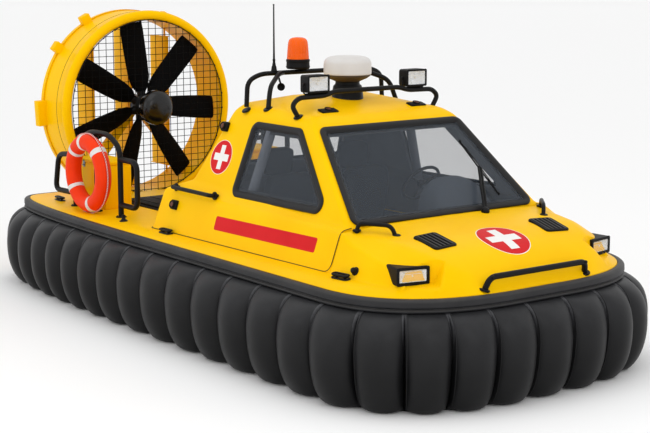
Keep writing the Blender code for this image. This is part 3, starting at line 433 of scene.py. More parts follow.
def circle(radius, steps, out=0.0):
    """A round outline, or the section of a turned ring when it is moved out."""
    return [(radius * math.cos(a), out + radius * math.sin(a)) for a in np.linspace(0, 2 * math.pi,
        steps + 1)[:-1]]


def lathe(centre, axis, profile, sides=48):
    """A solid lathe shape, closed to the axis before its first and after its last point."""
    (start, _), (end, last) = profile[0], profile[-1]
    tip = [(end, 0.001)] if last > 0.001 else []
    return turned_shell(centre, axis, [(start, 0.001)] + profile + tip, sides)


def soft_box(low, high, radius, steps=3, turn=None):
    """A box with rounded edges, optionally placed by a matrix."""
    shape = bmesh.new()
    size = Vector(high) - Vector(low)
    middle = (Vector(high) + Vector(low)) / 2
    bmesh.ops.create_cube(shape, size=1.0)
    for vert in shape.verts:
        vert.co = Vector(v * s for v, s in zip(vert.co, size)) + middle
    bmesh.ops.bevel(shape, geom=shape.edges[:], offset=radius, segments=steps, affect="EDGES",
        profile=0.5)
    if turn is not None:
        bmesh.ops.transform(shape, matrix=turn, verts=shape.verts)
    shape.verts.index_update()
    result = [tuple(v.co) for v in shape.verts], [tuple(v.index for v in f.verts)
        for f in shape.faces]
    shape.free()
    return result


# %% From shells to pieces
def clean(mesh):
    """Welds double points and turns all the faces outwards."""
    shape = bmesh.new()
    shape.from_mesh(mesh)
    bmesh.ops.remove_doubles(shape, verts=shape.verts, dist=1e-6)
    bmesh.ops.recalc_face_normals(shape, faces=shape.faces)
    shape.to_mesh(mesh)
    shape.free()


def shade(mesh, degrees):
    mesh.shade_smooth()
    mesh.set_sharp_from_angle(angle=math.radians(degrees))


def add_object(name, shell, material, smooth=35):
    mesh = bpy.data.meshes.new(name)
    mesh.from_pydata(shell[0], [], shell[1])
    clean(mesh)
    mesh.materials.append(finishes[material])
    shade(mesh, smooth)
    thing = bpy.data.objects.new(name, mesh)
    bpy.context.collection.objects.link(thing)
    return thing


def place_piece(thing, body, slot, *nodes):
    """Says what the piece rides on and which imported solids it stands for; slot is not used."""
    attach(thing, body)
    if nodes:
        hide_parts(*nodes)
    return thing


def add_piece(name, shells, material, body, slot, *nodes, smooth=35):
    shell = join_shells(shells if isinstance(shells, list) else [shells])
    return place_piece(add_object(name, shell, material, smooth), body, slot, *nodes)


def dress(names, material):
    """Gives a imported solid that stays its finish."""
    for name in names:
        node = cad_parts[name]
        node.data.materials.clear()
        node.data.materials.append(finishes[material])


def boolean(thing, tool, operation="DIFFERENCE"):
    """One exact boolean, applied at once; the tool is used up."""
    step = thing.modifiers.new("step", "BOOLEAN")
    step.operation, step.solver, step.object = operation, "EXACT", tool
    step.material_mode = "TRANSFER"
    graph = bpy.context.evaluated_depsgraph_get()
    result = bpy.data.meshes.new_from_object(thing.evaluated_get(graph))
    thing.modifiers.remove(step)
    old, thing.data = thing.data, result
    bpy.data.meshes.remove(old)
    bpy.data.objects.remove(tool)
    return thing


print("helpers ready")

# %% [markdown]
# ## The rim's outline
# Skirt, fender and deck all follow one closed line seen from above. It is a pair of
# superelliptic corners mirrored about the middle, measured along its own length, so that
# anything can be spaced evenly along it.

# %% A line to hang everything on
HALF_LENGTH, HALF_WIDTH = 3.191, 1.4
STERN_CORNER, BOW_CORNER = (3.988, 0.451, 3.717), (0.937, 1.167, 2.404)


def corner_curve(reach_x, reach_y, exponent, steps=400):
    angle = np.linspace(0, math.pi / 2, steps)
    return reach_x * np.sin(angle) ** (2 / exponent), reach_y * np.cos(angle) ** (2 / exponent)


stern_x, stern_y = corner_curve(*STERN_CORNER)
bow_x, bow_y = corner_curve(*BOW_CORNER)
line_x = np.concatenate([[-HALF_LENGTH], (STERN_CORNER[0] - HALF_LENGTH - stern_x)[::-1],
    HALF_LENGTH - BOW_CORNER[0] + bow_x, [HALF_LENGTH]])
line_y = -np.concatenate([[0], (HALF_WIDTH - STERN_CORNER[1] + stern_y)[::-1],
    HALF_WIDTH - BOW_CORNER[1] + bow_y, [0]])
line_arc = np.concatenate([[0], np.cumsum(np.hypot(np.diff(line_x), np.diff(line_y)))])
HALF_RIM = line_arc[-1]


def rim_point(arc):
    """Plan position at a distance along the rim, from the stern's middle along starboard."""
    arc = np.mod(arc, 2 * HALF_RIM)
    port = arc > HALF_RIM
    folded = np.where(port, 2 * HALF_RIM - arc, arc)
    return np.interp(folded, line_arc, line_x), np.interp(folded, line_arc, line_y) * np.where(
        port, -1, 1)


def rim_offset(arc, offset, height):
    """Points off the rim: outwards along its normal, inwards by drawing the line in."""
    x, y = rim_point(arc)
    (x0, y0), (x1, y1) = rim_point(arc - 0.05), rim_point(arc + 0.05)
    length = np.hypot(x1 - x0, y1 - y0)
    grown_x, grown_y = x + offset * (y1 - y0) / length, y - offset * (x1 - x0) / length
    drawn_x, drawn_y = x * (1 + offset / HALF_LENGTH), y * (1 + offset / HALF_WIDTH)
    out = np.broadcast_to(np.asarray(offset) > 0, x.shape)
    return np.stack([np.where(out, grown_x, drawn_x), np.where(out, grown_y, drawn_y),
        np.broadcast_to(height, x.shape)], axis=-1)


def smooth_curve(places, values, at):
    """A smooth curve through a table, for one or more columns of values."""
    places, values, at = (np.asarray(a, float) for a in (places, values, at))
    step = np.diff(places)
    rise = np.diff(values, axis=0) / (step if values.ndim == 1 else step[:, None])
    slope = np.concatenate([rise[:1], (rise[1:] + rise[:-1]) / 2, rise[-1:]])
    at = np.clip(at, places[0], places[-1])
    k = np.clip(np.searchsorted(places, at, side="right") - 1, 0, len(step) - 1)
    t, h = (at - places[k]) / step[k], step[k]
    if values.ndim > 1:
        t, h = t[..., None], h[..., None]
    return ((2 * t ** 3 - 3 * t ** 2 + 1) * values[k] + (t ** 3 - 2 * t ** 2 + t) * h * slope[k]
        + (3 * t ** 2 - 2 * t ** 3) * values[k + 1] + (t ** 3 - t ** 2) * h * slope[k + 1])


print("rim length:", round(2 * HALF_RIM, 2), "m")

# %% [markdown]
# ## Skirt
# The cushion of air is held by 46 rubber fingers. Each is a smooth bulge between two seams, so
# the skirt is one closed sweep: a soft profile is carried round the rim and pulled inwards near
# each seam by a half-ellipse rule, which leaves broad round fingers and narrow dark valleys.
# The seams are listed along the rim, because the fingers amidships are wider than at the ends.

# %% Fingers
SEAMS = np.array([0.186, 0.557, 0.925, 1.290, 1.650, 2.003, 2.345, 2.680, 3.025, 3.385, 3.765,
                  4.170, 4.590, 5.005, 5.415, 5.825, 6.240, 6.650, 7.020, 7.345, 7.655, 7.985,
                  8.345])
SEAMS = np.concatenate([SEAMS, 2 * HALF_RIM - SEAMS[::-1]])
FINGERS, VALLEY = len(SEAMS), 0.126
SKIRT_PROFILE = ((0.002, 0.7417, 0.0), (0.072, 0.722, 0.30), (0.136, 0.684, 0.60),
                 (0.192, 0.627, 0.86), (0.226, 0.556, 1.04), (0.245, 0.470, 1.15),
                 (0.249, 0.390, 1.25), (0.244, 0.300, 1.30), (0.229, 0.215, 1.30),
                 (0.200, 0.130, 1.22), (0.163, 0.066, 1.05), (0.122, 0.020, 0.80),
                 (0.078, 0.0, 0.45))
SKIRT_BACK = ((0.0, 0.0), (-0.150, 0.220), (-0.050, 0.7417))


def finger_seam(k):
    return SEAMS[k % FINGERS] + 2 * HALF_RIM * (k // FINGERS)


def finger_arc(finger, across):
    start, end = finger_seam(finger), finger_seam(finger + 1)
    return start + (end - start) * across


def skirt_front(arc, across, share_down, proud=0.0):
    """The outer surface of a finger, across from 0 to 1 and down from 0 to 1."""
    steps = np.linspace(0, 1, len(SKIRT_PROFILE))
    offset, height, valley = np.moveaxis(smooth_curve(steps, SKIRT_PROFILE, share_down), -1, 0)
    edge = np.abs(2 * across - 1)
    depth = VALLEY * valley * (1 - np.sqrt(np.maximum(0, 1 - edge ** 2)))
    lift = 0.045 * edge ** 3 * np.clip(1 - height / 0.2, 0, 1) ** 1.5
    return rim_offset(arc, offset - depth + proud, height + lift)


COLUMNS, DOWN = 18, 30
across = np.tile((1 - np.cos(math.pi * np.arange(COLUMNS) / COLUMNS)) / 2, FINGERS)
finger = np.repeat(np.arange(FINGERS), COLUMNS)
arcs = finger_arc(finger, across)
skirt_rings = [skirt_front(arcs, across, np.full_like(arcs, d)) for d in np.linspace(0, 1, DOWN)]
skirt_rings += [rim_offset(arcs, off, z) for off, z in SKIRT_BACK]
skirt_shell = loft_shell(list(np.stack(skirt_rings, axis=1)), closed=True)
add_piece("skirt_fingers", skirt_shell, "skirt", "craft", "skirt_rubber", "skirt", smooth=75)
print("fingers:", FINGERS)

# %% [markdown]
# A cord runs down each seam and a flat tape covers its top. Here Geometry Nodes makes the cords:
# a mesh of bare lines goes in, and a small tree turns every line into a tube of a given radius.
# The same tree makes the fan's wire guard later on.

# %% Geometry nodes: a tube along every line
def shape_tree(name, **numbers):
    """A tree that takes a shape, numbers and a material, and gives back a shape."""
    shape = "NodeSocketGeometry"
    return new_group(name, "GeometryNodeTree",
        [("Geometry", shape, None),
        *((label, "NodeSocketInt" if isinstance(value, int) else FLOAT, value)
        for label, value in numbers.items()), ("Material", "NodeSocketMaterial", None)],
        [("Geometry", shape)])


def paint_and_end(tree, g_in, g_out, last):
    """Ends a tree: instances are made real and get the material."""
    real = add_node(tree, "GeometryNodeRealizeInstances", Geometry=last.outputs[0])
    paint = add_node(tree, "GeometryNodeSetMaterial", Geometry=real.outputs[0],
        Material=g_in.outputs["Material"])
    tree.links.new(paint.outputs[0], g_out.inputs["Geometry"])
    return tree


def lines_tree():
    tree, g_in, g_out = shape_tree("tube_along_lines", Radius=0.005, Sides=8)
    curve = add_node(tree, "GeometryNodeMeshToCurve", Mesh=g_in.outputs["Geometry"])
    ring = add_node(tree, "GeometryNodeCurvePrimitiveCircle", Resolution=g_in.outputs["Sides"],
        Radius=g_in.outputs["Radius"])
    sweep = add_node(tree, "GeometryNodeCurveToMesh", Curve=curve.outputs[0],
        Profile_Curve=ring.outputs[0], Fill_Caps=True)
    return paint_and_end(tree, g_in, g_out, sweep)


def run_nodes(name, points, edges, tree, material, attributes=None, **values):
    """Runs a geometry tree on bare points and lines and keeps the plain mesh it makes."""
    mesh = bpy.data.meshes.new(name)
    mesh.from_pydata([tuple(p) for p in points], edges, [])
    for label, vectors in (attributes or {}).items():
        made = mesh.attributes.new(label, "FLOAT_VECTOR", "POINT")
        made.data.foreach_set("vector", np.asarray(vectors, float).ravel())
    thing = bpy.data.objects.new(name, mesh)
    bpy.context.collection.objects.link(thing)
    step = thing.modifiers.new("nodes", "NODES")
    step.node_group = tree
    values["Material"] = finishes[material]
    for item in tree.interface.items_tree:
        if item.item_type == "SOCKET" and item.in_out == "INPUT" and item.name in values:
            step[item.identifier] = values[item.name]
    graph = bpy.context.evaluated_depsgraph_get()
    result = bpy.data.meshes.new_from_object(thing.evaluated_get(graph))
    thing.modifiers.remove(step)
    thing.data = result
    bpy.data.meshes.remove(mesh)
    clean(result)
    shade(result, 40)
    return thing


LINES, CORD_AT = lines_tree(), 0.055
points, edges_list, strips = [], [], []
for k in range(FINGERS):
    path = skirt_front(np.full(26, finger_arc(k, CORD_AT)), np.full(26, CORD_AT),
        np.linspace(0.03, 0.97, 26), 0.001)
    edges_list += [(len(points) + i, len(points) + i + 1) for i in range(25)]
    points += list(path)
    rings, length = [], finger_seam(k + 1) - finger_seam(k)
    for share in np.linspace(0.004, 0.46, 12):
        half = 0.021 * (1 - (share / 0.5) ** 1.6) / length
        ring = []
        for proud in (0.0035, -0.004):
            for u in np.linspace(-half, half, 7)[::1 if proud > 0 else -1]:
                spot = k if u >= 0 else k - 1
                part = u if u >= 0 else 1 + u
                ring.append(skirt_front(np.array([finger_arc(spot, part)]), np.array([part]),
                    np.array([share]), proud)[0])
        rings.append(ring)
    strips.append(loft_shell(rings))
place_piece(run_nodes("skirt_seam_cords", points, edges_list, LINES, "skirt", Radius=0.006,
    Sides=8), "craft", "skirt_rubber")
add_piece("skirt_seam_tapes", strips, "welt", "craft", "skirt_rubber", smooth=60)
print("seam tapes:", FINGERS)

# %% [markdown]
# ## Fender and hull
# The fender is a rubber strip with a flat face, a groove and a lower bead. The hull's upper face
# is a height rule over the plan: the deck and the hood are two heights, and a smooth maximum
# joins them with a soft fillet, much as a mould maker would wipe one in with putty.

# %% Fender strip
def rounded_section(corners, reach, steps=4):
    """A closed plan polygon with every corner rounded."""
    corners = [Vector(c) for c in corners]
    points = []
    for i, corner in enumerate(corners):
        a, b = corners[i - 1] - corner, corners[(i + 1) % len(corners)] - corner
        size = min(reach, 0.45 * a.length, 0.45 * b.length)
        points += map(tuple, soft_corner(corner + a.normalized() * size, corner,
            corner + b.normalized() * size, steps))
    return points


fender_section = rounded_section([(-0.0195, 0.742), (0.026, 0.742), (0.036, 0.75), (0.036, 0.762),
    (0.022, 0.769), (0.022, 0.774), (0.036, 0.783), (0.034, 0.828), (0.014, 0.8445),
    (-0.0195, 0.8445)], 0.009)
arcs = np.linspace(0, 2 * HALF_RIM, 360, endpoint=False)
rings = np.stack([rim_offset(arcs, off, z) for off, z in fender_section], axis=1)
add_piece("rim_strip", loft_shell(list(rings), closed=True), "fender", "craft", "fender_rubber",
    "rim_fender", smooth=40)
print("fender section points:", len(fender_section))

# %% Hull and hood
HOOD = (
    # x, foot half width, foot z, shoulder half width, shoulder z, top half width, top z
    (1.90, 1.200, 0.900, 1.088, 1.226, 0.960, 1.234),
    (2.10, 1.200, 0.900, 1.087, 1.213, 0.955, 1.228),
    (2.23, 1.205, 0.899, 1.096, 1.153, 0.945, 1.215),
    (2.36, 1.205, 0.897, 1.102, 1.112, 0.935, 1.202),
    (2.47, 1.200, 0.893, 1.104, 1.086, 0.925, 1.190),
    (2.64, 1.165, 0.885, 1.098, 1.050, 0.900, 1.165),
    (2.86, 1.075, 0.870, 1.020, 0.985, 0.820, 1.092),
    (3.02, 0.910, 0.858, 0.870, 0.905, 0.670, 0.985),
    (3.13, 0.610, 0.846, 0.590, 0.852, 0.500, 0.865),
    (3.20, 0.300, 0.780, 0.280, 0.785, 0.200, 0.790))
EDGE_Z = 0.844


def deck_z(x):
    return 0.885 + 0.0105 * x


def soft_low(a, b, blend):
    share = np.clip(0.5 + 0.5 * (b - a) / blend, 0, 1)
    return b + (a - b) * share - blend * share * (1 - share)


def soft_high(a, b, blend):
    return -soft_low(-a, -b, blend)


def hood_z(x, y):
    """Height of the hood alone; ahead of it and beside it, this falls below the deck."""
    foot, foot_z, wide, wide_z, half, top = np.moveaxis(smooth_curve([row[0] for row in HOOD],
        [row[1:] for row in HOOD], x), -1, 0)
    side = np.abs(y)
    crown = top + 0.012 * (1 - np.minimum(side / half, 1.4) ** 2)
    upper = top + (wide_z - top) / (wide - half) * (side - half)
    lower = wide_z + (foot_z - wide_z) / (foot - wide) * (side - wide)
    return soft_low(soft_low(crown, upper, 0.03), lower, 0.018)


LAMP_X, LAMP_Y, LAMP_TURN = 2.8, 0.978, math.radians(12)


def pocket_z(x, y):
    """The scoop that holds a headlamp: a ledge with walls beside and behind the lamp."""
    x, y = x - LAMP_X, np.abs(y) - LAMP_Y
    ahead = x * math.cos(LAMP_TURN) + y * math.sin(LAMP_TURN)
    beside = y * math.cos(LAMP_TURN) - x * math.sin(LAMP_TURN)
    return 0.905 + 1.6 * np.maximum(0, -beside - 0.158) + 9.0 * np.maximum(0, 0.045 - ahead)


def top_z(x, y, offset):
    """Height of the hull's upper face."""
    t = np.clip((-offset - 0.02) / 0.18, 0, 1)
    deck = EDGE_Z + (deck_z(x) - EDGE_Z) * (1 - (1 - t) ** 2.2)
    hood = soft_low(hood_z(x, y), pocket_z(x, y), 0.02)
    return np.where(x > 1.5, soft_high(deck, hood, 0.03), deck)


arcs = np.linspace(0, 2 * HALF_RIM, 240, endpoint=False)
BOW_START, BOW_END = 6.6, 2 * HALF_RIM - 6.6
arcs = np.unique(
    np.concatenate([arcs[(arcs < BOW_START) | (arcs > BOW_END)],
    np.linspace(BOW_START, BOW_END, 260)]))
hull_rings = [rim_offset(arcs, off, z) for off, z in ((-0.34, 0.28), (-0.11, 0.742),
    (-0.02, 0.742), (-0.02, 0.838))]
insets = np.concatenate([[-0.022, -0.028, -0.038, -0.055, -0.08, -0.11],
    np.arange(-0.125, -0.6, -0.0085), np.arange(-0.6, -1.39, -0.035)])
for inset in insets:
    ring = rim_offset(arcs, inset, 0.0)
    ring[:, 2] = top_z(ring[:, 0], ring[:, 1], inset)
    hull_rings.append(ring)
hull = add_object("hull_shell", loft_shell(hull_rings), "gelcoat", 30)
print("hull faces:", len(hull.data.polygons))

# %% [markdown]
# ## Canopy and hull cut-outs
# The cab is one moulding that hinges up at its rear edge. Its form is six outlines stacked like
# contour lines. Every column of points through them is rounded where it bends, so the moulded
# edges are soft all round, and the inside is the same form drawn in by the wall.

# %% The canopy's form
CANOPY = (
    # rear x, front x, rear z, front z, rear half width, front half width, corner radius at
    # the rear and at the front, bend
    (-0.590, 2.100, None, None, 1.200, 1.200, 0.07, 0.004, 0.0),
    (-0.550, 2.100, 1.235, 1.225, 1.085, 1.085, 0.07, 0.004, 0.045),
    (-0.220, 2.088, 1.345, 1.240, 0.980, 1.015, 0.06, 0.05, 0.035),
    (0.110, 1.325, 1.975, 1.945, 0.755, 0.762, 0.06, 0.06, 0.045),
    (0.180, 1.235, 2.040, 1.998, 0.695, 0.700, 0.08, 0.08, 0.045),
    (0.420, 1.000, 2.105, 2.060, 0.400, 0.400, 0.10, 0.10, 0.0))
WALL = 0.040


def plan_loop(rear, front, half_rear, half_front, rear_radius, front_radius):
    corners = [Vector(c) for c in ((rear, -half_rear), (front, -half_front), (front, half_front),
        (rear, half_rear))]
    points = []
    for i, corner in enumerate(corners):
        radius = front_radius if i in (1, 2) else rear_radius
        before = (corners[i - 1] - corner).normalized()
        after = (corners[(i + 1) % 4] - corner).normalized()
        points += soft_corner(corner + before * radius, corner, corner + after * radius, 10)
    return points


def canopy_shell(inset, foot=None):
    levels = []
    for number, (rear, front, z_rear, z_front, half_rear, half_front, aft, fore, _) in enumerate(
            CANOPY):
        lift = inset if number >= 3 else 0.0
        slope = 1.0 if number < 2 else 1.35
        rear, front = rear + inset * slope, front - inset * slope
        loop = plan_loop(rear, front, half_rear - inset, half_front - inset,
            max(aft - inset, 0.004), max(fore - inset, 0.004))
        if number == 0:
            ring = [(p.x, p.y, deck_z(p.x) + min(inset, 0) if foot is None else foot)
                for p in loop]
        else:
            ring = [(p.x, p.y, z_rear + (z_front - z_rear) * (p.x - rear) / (front - rear) - lift)
                for p in loop]
        levels.append(np.array(ring))
    rows = [levels[0]]
    for k in range(1, 5):
        here = levels[k]
        down, up = levels[k - 1] - here, levels[k + 1] - here
        down_len = np.linalg.norm(down, axis=1)[:, None]
        up_len = np.linalg.norm(up, axis=1)[:, None]
        reach = np.minimum(CANOPY[k][8], 0.45 * np.minimum(down_len, up_len))
        rows += soft_corner(here + down / down_len * reach, here, here + up / up_len * reach, 5)
    rows.append(levels[5])
    middle = np.array([0.71, 0.0, 2.088 - inset])
    for share, rise in ((0.7, 0.006), (0.35, 0.01), (0.08, 0.0115)):
        flat = middle + (levels[5] - middle) * share
        rows.append(flat + np.array([0, 0, rise]))
    return loft_shell(rows)


# %% Panes: an outline with round corners, seen from outside
def pane_outline(corners, radius, grow):
    corners = [Vector(c) for c in corners]
    normal = (corners[1] - corners[0]).cross(corners[3] - corners[0]).normalized()
    moved = []
    for i, corner in enumerate(corners):
        before = (corner - corners[i - 1]).normalized()
        after = (corners[(i + 1) % 4] - corner).normalized()
        out_before, out_after = before.cross(normal), after.cross(normal)
        moved.append(corner + (out_before + out_after) * grow / (1 + out_before.dot(out_after)))
    points, reach = [], max(radius + grow, 0.012)
    for i, corner in enumerate(moved):
        before = (moved[i - 1] - corner).normalized()
        after = (moved[(i + 1) % 4] - corner).normalized()
        half = before.angle(after) / 2
        start = corner + before * reach / math.tan(half)
        end = corner + after * reach / math.tan(half)
        centre = corner + (before + after).normalized() * reach / math.sin(half)
        points += [centre + (start - centre).normalized().slerp((end - centre).normalized(),
            k / 10) * reach for k in range(11)]
    return points, normal


def pane_shell(corners, radius, rings, closed=False):
    """Lofts outlines; each ring is (how far it is grown, depth off the pane's face)."""
    made = []
    for grow, depth in rings:
        points, normal = pane_outline(corners, radius, grow)
        made.append([p + normal * depth for p in points])
    return loft_shell(made, closed)


def rectangle(half_a, half_b, radius, steps):
    """A rounded rectangle about the origin."""
    return rounded_section([(-half_a, -half_b), (half_a, -half_b), (half_a, half_b),
        (-half_a, half_b)], radius, steps)


def mirrored(corners):
    a, b, c, d = [(x, -y, z) for x, y, z in corners]
    return [b, a, d, c]


SIDE_GLASS = [(0.445, -1.006, 1.276), (1.830, -0.999, 1.288), (1.168, -0.778, 1.905),
              (0.475, -0.778, 1.905)]
PANES = {
    "windscreen": ([(2.098, -0.965, 1.240), (2.098, 0.965, 1.240), (1.352, 0.745, 1.925),
                    (1.352, -0.745, 1.925)], 0.075),
    "side_window_starboard": (SIDE_GLASS, 0.085),
    "side_window_port": (mirrored(SIDE_GLASS), 0.085),
    "rear_window": ([(-0.176, 0.66, 1.415), (-0.176, -0.66, 1.415), (0.060, -0.56, 1.869),
                     (0.060, 0.56, 1.869)], 0.07)}
print("panes:", list(PANES))

# %% Cut the openings
canopy = add_object("canopy_shell", canopy_shell(0.0), "gelcoat", 30)
boolean(canopy, add_object("inside", canopy_shell(WALL, 0.785), "liner"))
boolean(canopy, add_object("ahead", soft_box((1.9, -0.955, 0.8), (2.4, 0.955, 1.215), 0.004),
    "cabin"))
for corners, radius in PANES.values():
    boolean(canopy, add_object("rebate", pane_shell(corners, radius, [(0, -0.006), (0, 0.15)]),
        "gelcoat"))
    boolean(canopy,
        add_object("hole", pane_shell(corners, radius, [(-0.052, -0.2), (-0.052, 0.15)]), "liner"))
shade(canopy.data, 30)
place_piece(canopy, "canopy", "yellow_gelcoat", "canopy")
above = [[(x, -1.33, deck_z(x) + 0.0006), (x, 1.33, deck_z(x) + 0.0006), (x, 1.33, 1.6),
    (x, -1.33, 1.6)] for x in (1.2, 2.1004)]
boolean(hull, add_object("room", loft_shell(above), "gelcoat"))
boolean(hull, add_object("cockpit", soft_box((-0.46, -1.08, 0.5), (1.98, 1.08, 2.0), 0.03),
    "cabin"))
boolean(hull, add_object("bay", soft_box((-2.1, -0.6, 0.36), (-1.36, 0.6, 1.2), 0.02), "cabin"))
place_piece(hull, "craft", "yellow_gelcoat", "hull")
print("canopy faces:", len(canopy.data.polygons), "hull faces:", len(hull.data.polygons))

# %% Seals and glass
SEAL = [(-0.052, -0.0057), (0.000, -0.0057), (0.004, 0.000), (0.003, 0.008), (-0.004, 0.0135),
        (-0.014, 0.0155), (-0.028, 0.0155), (-0.040, 0.0125), (-0.048, 0.006), (-0.054, -0.002),
        (-0.060, -0.004), (-0.060, -0.0057)]
for name, (corners, radius) in PANES.items():
    add_piece(name + "_rubber", pane_shell(corners, radius, SEAL, closed=True), "seal", "canopy",
        "window_seal", name + "_seal", smooth=50)
    add_piece(name + "_glass", pane_shell(corners, radius, [(-0.0523, -0.014), (-0.0523, -0.006)]),
        "glass", "canopy", "tinted_glass", name)
    add_piece(name + "_band",
        pane_shell(corners, radius, [(-0.04, -0.0165), (-0.085, -0.0165), (-0.085, -0.015),
        (-0.04, -0.015)], closed=True), "plastic", "canopy", "window_seal")
print("seals and panes:", 2 * len(PANES))

# %% [markdown]
# ## Duct, guard and fan
# The duct is a lathe shape with a fat rolled lip. The guard is a wire grid made by the same
# line tree as the seam cords: only the layout of the lines differs.

# %% Duct
FAN_Z = 1.741
AXIS, UP = (1, 0, 0), (0, 0, 1)
lip = [(-2.65 + 0.05 * math.cos(a), 0.94 + 0.05 * math.sin(a))
    for a in np.radians(np.linspace(-132, 132, 21))]
outside = [(-2.8, 0.975), (-2.801, 0.971), (-2.806, 0.971), (-2.807, 0.975)]
inside = [(-3.13, 0.912), (-3.124, 0.905)]
duct_profile = inside + lip + outside + [(-3.079, 0.975), (-3.077, 0.985), (-3.073, 0.987),
    (-3.126, 0.987), (-3.13, 0.983)]
duct = add_object("duct_shell", turned_shell((0, 0, FAN_Z), AXIS, duct_profile, 168, True),
    "gelcoat", 35)
for degrees, half in ((28, 0.05), (52.6, 0.05), (92.7, 0.13)):
    for side in (-1, 1):
        turn = Matrix.Translation((0, 0, FAN_Z)) @ Matrix.Rotation(math.radians(-side * degrees),
            4, "X")
        lug = soft_box((-3.127, -half, 0.93), (-3.04, half, 1.06), 0.006, 3, turn)
        boolean(duct, add_object("lug", lug, "gelcoat"), "UNION")
shade(duct.data, 35)
place_piece(duct, "craft", "yellow_gelcoat", "duct")
print("duct faces:", len(duct.data.polygons))

# %% Wire guard
# spacing of the upright and the level wires, radius of the guard and of its outer hoop
ACROSS, UPWARD, REACH, HOOP = 0.083, 0.067, 0.897, 0.893
points, edges_list = [], []
for k in range(-14, 15):
    for pitch, upright, x in ((ACROSS, True, -2.61), (UPWARD, False, -2.615)):
        offset = k * pitch
        half = math.sqrt(max(REACH ** 2 - offset ** 2, 0))
        if half < 0.1:
            continue
        ends = [(offset, -half), (offset, half)] if upright else [(-half, offset), (half, offset)]
        edges_list.append((len(points), len(points) + 1))
        points += [(x, y, FAN_Z + z) for y, z in ends]
guard = run_nodes("guard_wires", points, edges_list, LINES, "blade", Radius=0.0034, Sides=6)
place_piece(guard, "craft", "black_metal", "fan_guard")
add_piece("guard_hoops",
    [turned_shell((-2.6125, 0, FAN_Z), AXIS, circle(0.005, 8, out=r), 120, True)
    for r in (HOOP, 0.104)], "tube", "craft", "black_metal")
add_piece("duct_joint", turned_shell((-2.8035, 0, FAN_Z), AXIS, circle(0.0028, 8, out=0.9738), 168,
    True), "seal", "craft", "window_seal")
print("guard wires:", len(edges_list))

# %% [markdown]
# ## Rails and racks
# All the bars are bent tube with a small round foot plate. The bends are short arcs, and the
# foot plates are lathe shapes turned to face along the end of the bar.

# %% Bars with feet
def foot_shell(place, facing, radius):
    return lathe(place, facing, [(-0.002, radius), (0.0072, radius), (0.012, radius * 0.86)], 28)


def bars(name, paths, radius, bend, body, node, feet):
    shells = [tube_shell(path, radius, bend) for path in paths]
    shells += [foot_shell(*foot) for foot in feet]
    add_piece(name, shells, "tube", body, "black_metal", node)


RAIL_Y, RAIL_POSTS = 1.12, (-1.26, -1.72, -2.16)
# hoop, the bars ahead of it and behind it, middle post: x and z along each
RAIL_RUNS = (((-1.26, 0.85), (-1.26, 1.52), (-1.46, 1.63), (-1.80, 1.63), (-2.16, 1.50),
              (-2.16, 0.85)),
             ((-1.26, 1.42), (-0.95, 1.42), (-0.95, 0.99), (-1.26, 0.99)),
             ((-2.16, 1.38), (-2.50, 1.34), (-2.58, 0.98), (-2.16, 0.99)),
             ((-1.72, 1.62), (-1.72, 0.85)))
for label, side in SIDES:
    y = RAIL_Y * side
    runs = [[(x, y, z) for x, z in run] for run in RAIL_RUNS]
    feet = [((x, y, deck_z(x)), UP, 0.05) for x in RAIL_POSTS]
    bars("rail_bars_" + label, runs, 0.0265, 0.09, "craft", "rail_" + label, feet)
    handle = [(-0.33, 1.045 * side, 1.262), (-0.33, 1.125 * side, 1.275),
        (0.3, 1.125 * side, 1.275), (0.3, 1.045 * side, 1.262)]
    bars("grab_bar_" + label, [handle], 0.0185, 0.03, "canopy", "grab_handle_" + label,
        [((x, 1.075 * side, 1.268), (0, side, 0.1), 0.036) for x in (-0.33, 0.3)])
    hood_rail = [(2.16, 0.985 * side, 1.17), (2.17, 0.975 * side, 1.285),
        (2.37, 0.81 * side, 1.275), (2.4, 0.778 * side, 1.17)]
    bars("hood_bar_" + label, [hood_rail], 0.017, 0.05, "craft", "hood_rail_" + label,
        [((2.16, 0.98 * side, 1.222), (0, 0, 1), 0.034),
        ((2.4, 0.782 * side, 1.196), (0.1, 0, 1), 0.034)])
bars("rack_bars",
    [[(0.31, -0.748, 2.015), (0.31, -0.735, 2.235), (0.31, -0.6, 2.292), (0.31, 0.6, 2.292),
    (0.31, 0.735, 2.235), (0.31, 0.748, 2.015)]]
    + [[(0.57, 0.7 * s, 2.02), (0.53, 0.65 * s, 2.2), (0.37, 0.45 * s, 2.288),
    (0.31, 0.36 * s, 2.292)] for s in (-1, 1)], 0.021, 0.08, "canopy", "roof_rack",
    [((0.31, 0.748 * s, 1.985), (0, 0.5 * s, 1), 0.042) for s in (-1, 1)]
    + [((0.565, 0.698 * s, 2.012), (0, 0.4 * s, 1), 0.042) for s in (-1, 1)])
half_bar = [(0.715, 1.968), (0.79, 2.085), (0.72, 2.145), (0.45, 2.15), (0.35, 2.18)]
bars("lamp_bar_tube",
    [[(1.04, -y, z) for y, z in half_bar] + [(1.04, y, z) for y, z in half_bar[::-1]]], 0.021,
    0.05, "canopy", "lamp_bar",
    [((1.04, 0.722 * s, 1.985), (0, 0.4 * s, 1), 0.042) for s in (-1, 1)])
bars("bow_bar",
    [[(3.115, -0.529, 0.852), (3.15, -0.5, 0.965), (3.15, 0.5, 0.965), (3.115, 0.529, 0.852)]],
    0.0235, 0.06, "craft", "bow_rail",
    [((3.117, 0.528 * s, 0.866), (0.25, -0.2 * s, 1), 0.045) for s in (-1, 1)]
    + [((3.166, 0.485 * s, 0.965), (1, 0, 0), 0.014) for s in (-1, 1)])

# %% [markdown]
# ## Lamps
# A work lamp is three nested shapes: a housing whose front folds back into a recess, a bright
# dish in the recess and a clear lens over it. One function builds all four lamps of the craft.

